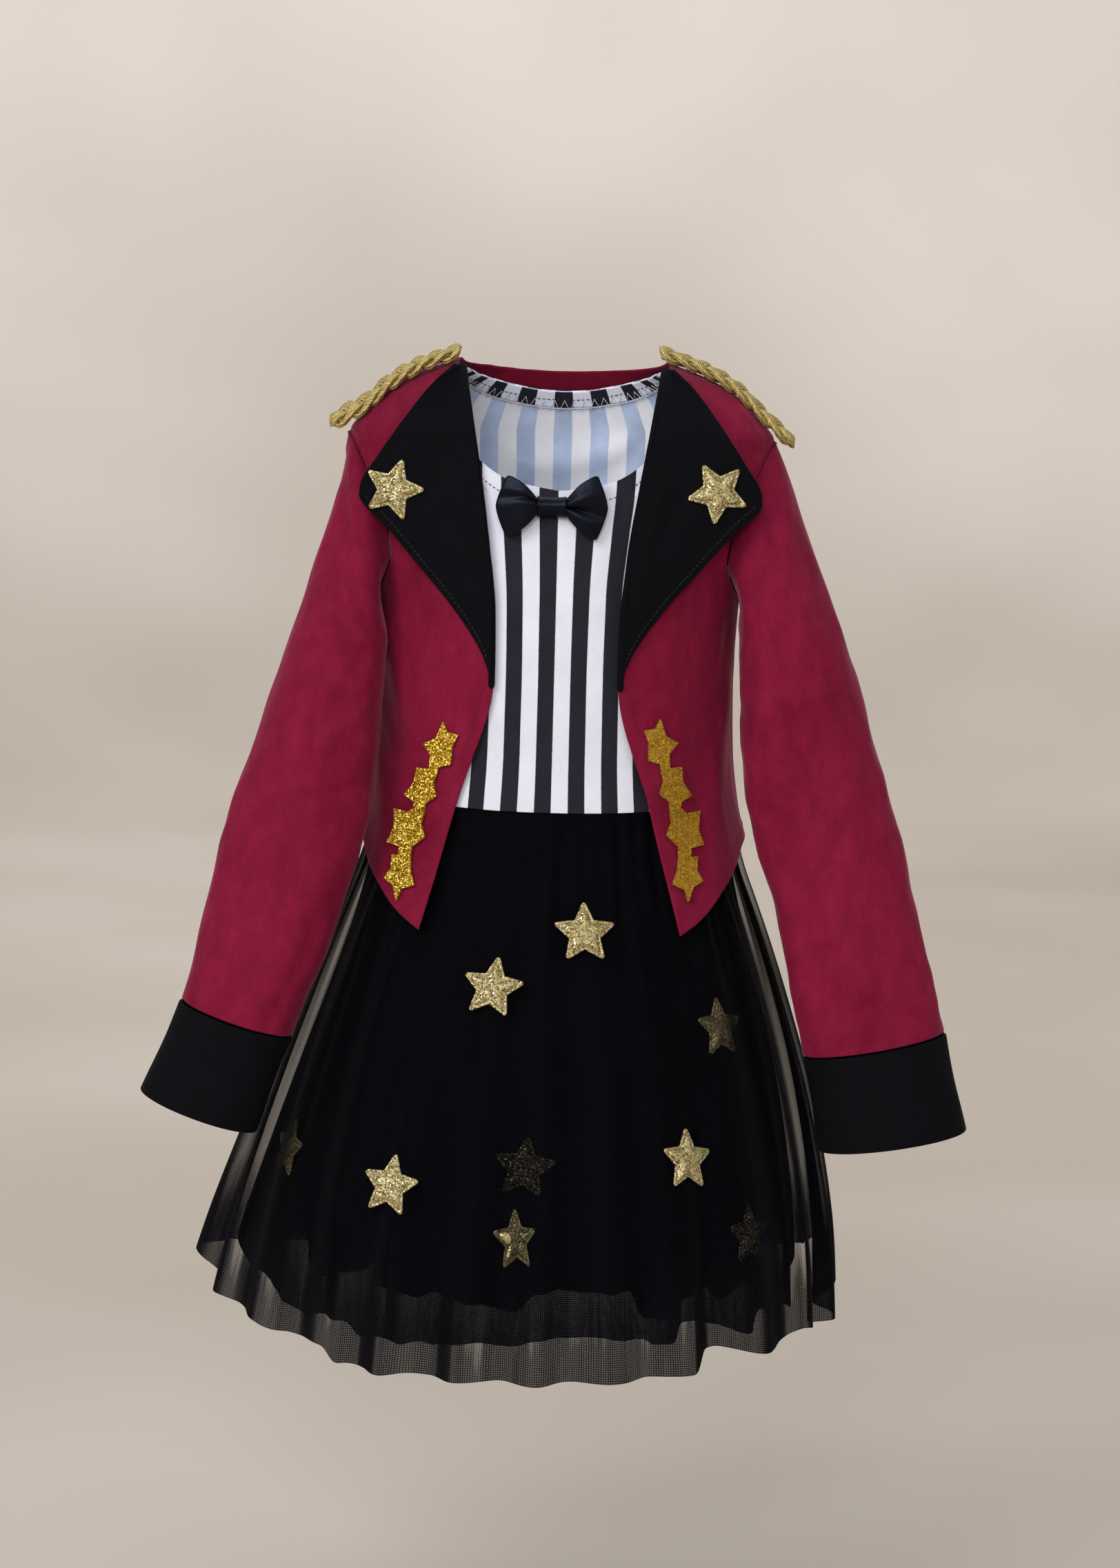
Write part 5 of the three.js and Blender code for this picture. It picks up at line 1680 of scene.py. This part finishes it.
def shoulder_top(x, y):
    low, high = np.full(x.shape, -120.0), np.full(x.shape, 4.0)
    for _ in range(24):
        z = (low + high) / 2
        form = TORSO(z)
        inside = np.hypot(x / form.half_width, y / np.where(y < 0, form.front, form.back)) < 1
        low, high = np.where(inside, z, low), np.where(inside, high, z)
    return low


def strand_middle(place, k, v):
    phase = 2 * np.pi * (PLAIT.turns * v + k / 3)
    pinch = 0.55 + 0.45 * np.sin(np.pi * np.minimum(0.5, 0.1 + 3 * np.minimum(v, 1 - v)))
    y = PLAIT.half_spread * pinch * np.sin(phase) - place.forward
    return mix(place.inner_x, PLAIT.outer_x, v), y, PLAIT.rise * np.sin(2 * phase)


def cord_path(side, k, offset, up):
    """One cord of a strand: out along one side of it, round its end and back on the other."""
    place = PLAIT_PLACE[side]
    length = PLAIT.outer_x - place.inner_x
    straight = np.linspace(0.0, 1 - offset / length, 130)
    bend = np.linspace(-np.pi / 2, np.pi / 2, 14)[1:-1]
    v = np.concatenate([straight, 1 + (offset * np.cos(bend) - offset) / length, straight[::-1]])
    across = np.concatenate(
        [np.full(130, -offset), offset * np.sin(bend), np.full(130, offset)]
    )
    x, y, rise = strand_middle(place, k, v)
    ahead, behind = strand_middle(place, k, v + 0.01), strand_middle(place, k, v - 0.01)
    way = np.stack([ahead[0] - behind[0], ahead[1] - behind[1]], -1)
    way /= np.linalg.norm(way, axis=-1, keepdims=True)
    px, py = x - across * way[:, 1], y + across * way[:, 0]
    top = shoulder_top(np.minimum(px, PLAIT.free), py) - place.droop * np.maximum(0, px - PLAIT.free)
    return points(px * SIDES[side], py, top + place.height + rise + up)


def make_epaulette(side):
    tubes = []
    for k in range(3):
        for offset, up in STRAND_CORDS:
            path = resample(cord_path(side, k, offset, up), 0.85)
            tubes.append(
                tube(path, CORD_RADIUS, sides=10,
                     twist=lambda s, turn: 1 + 0.13 * np.cos(3 * turn - 2 * np.pi * s / 5.5))
            )
    piece = joined_tubes(f"epaulette_{side}_cords", tubes, GOLD_CORD)
    tidy_mesh(piece)
    return finish_piece(piece, "gold_cord", f"epaulette_{side}")


# Stage, light and camera

CAMERA = SimpleNamespace(place=(0.004, -2.6, 0.07), pitch=7.158, roll=1.5, lens=99.18)
FLOOR_Z = -0.79


def make_camera():
    data = bpy.data.cameras.new("camera")
    data.sensor_fit = "VERTICAL"
    data.sensor_height = 36
    data.lens = CAMERA.lens
    pitch, roll = math.radians(CAMERA.pitch), math.radians(CAMERA.roll)
    forward = Vector((0, math.cos(pitch), -math.sin(pitch)))
    level_up, level_right = Vector((0, math.sin(pitch), math.cos(pitch))), Vector((1, 0, 0))
    right = math.cos(roll) * level_right + math.sin(roll) * level_up
    up = -math.sin(roll) * level_right + math.cos(roll) * level_up
    camera = bpy.data.objects.new("camera", data)
    camera.matrix_world = Matrix.Translation(CAMERA.place) @ Matrix((right, up, -forward)).transposed().to_4x4()
    bpy.context.scene.collection.objects.link(camera)
    bpy.context.scene.camera = camera


def make_backdrop():
    """A pale floor that curves up into a wall all round, with painted shade darker towards the floor and soft
    blotches of painted light and shadow.
    """
    radius, bend, height = 5.8, 2.4, 5.0
    turn = np.linspace(0, np.pi / 2, 24)
    reach = np.concatenate([[0.001, 1.7], radius - bend + bend * np.sin(turn), [radius]])
    z = np.concatenate([[0, 0], bend - bend * np.cos(turn), [height]]) + FLOOR_Z
    around = np.linspace(0, 2 * np.pi, 96, endpoint=False)
    verts = points(reach[:, None] * np.cos(around), reach[:, None] * np.sin(around), z[:, None]) / MM
    index = np.arange(verts.shape[0] * 96).reshape(-1, 96)
    after = np.roll(index, -1, axis=1)
    quads = np.stack([index[:-1], after[:-1], after[1:], index[1:]], -1).reshape(-1, 4)
    backdrop = mesh("backdrop", verts.reshape(-1, 3), quads)
    shader = Shader("backdrop_paint", roughness=0.95)
    shader.put(shader.skin, "Specular IOR Level", 0.1)
    # Painted light and shadow: the noise gives soft blotches, and the height blend paints shade darker towards the
    # floor.
    cloudy = shader.spread(shader.noise(1.1, detail=2), 0.3, 0.7, -0.15, 0.15)
    height = shader.add("SeparateXYZ", {0: shader.here}).outputs[2]
    pale = shader.maths("ADD", shader.spread(height, FLOOR_Z, 1.0, 0.1, 0.95), cloudy)
    shader.put(shader.skin, "Base Color", shader.blend(pale, rgb(188, 178, 166), rgb(244, 237, 230)))
    backdrop.data.materials.append(shader.material)


def add_light(name, place, target, size, power, colour=(1, 1, 1)):
    data = bpy.data.lights.new(name, "AREA")
    data.shape = "DISK"
    data.size = size
    data.energy = power
    data.color = colour
    light = bpy.data.objects.new(name, data)
    light.location = place
    light.rotation_euler = (Vector(target) - Vector(place)).to_track_quat("-Z", "Y").to_euler()
    bpy.context.scene.collection.objects.link(light)


def make_lights():
    middle = (0, 0, -0.28)
    add_light("key", (-1.5, -2.2, 1.3), middle, 1.7, 40, (1, 0.99, 0.99))
    add_light("fill", (1.9, -1.8, 0.5), middle, 1.8, 4, (0.98, 0.99, 1))
    add_light("front", (-0.2, -3.4, 0.9), middle, 1.0, 40, (0.93, 0.97, 1))
    add_light("top", (0.2, 0.2, 2.4), middle, 3.2, 6)
    add_light("wall", (0, 1.6, 3.0), (0, 5.2, 0.4), 3.0, 85)
    world = bpy.data.worlds.new("world")
    world.use_nodes = True
    world.node_tree.nodes["Background"].inputs["Color"].default_value = (*rgb(236, 238, 244), 1)
    world.node_tree.nodes["Background"].inputs["Strength"].default_value = 0.55
    bpy.context.scene.world = world
    bpy.context.scene.view_settings.view_transform = "Standard"


make_camera()
make_backdrop()
make_lights()
make_jacket()
make_bodice()
make_bow()
make_skirt()
for node in sorted(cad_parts):
    if "_star_" in node:
        make_star(node)
    elif node.startswith("star_chain"):
        make_chain(node)
make_folded_star()
for side in SIDES:
    make_epaulette(side)
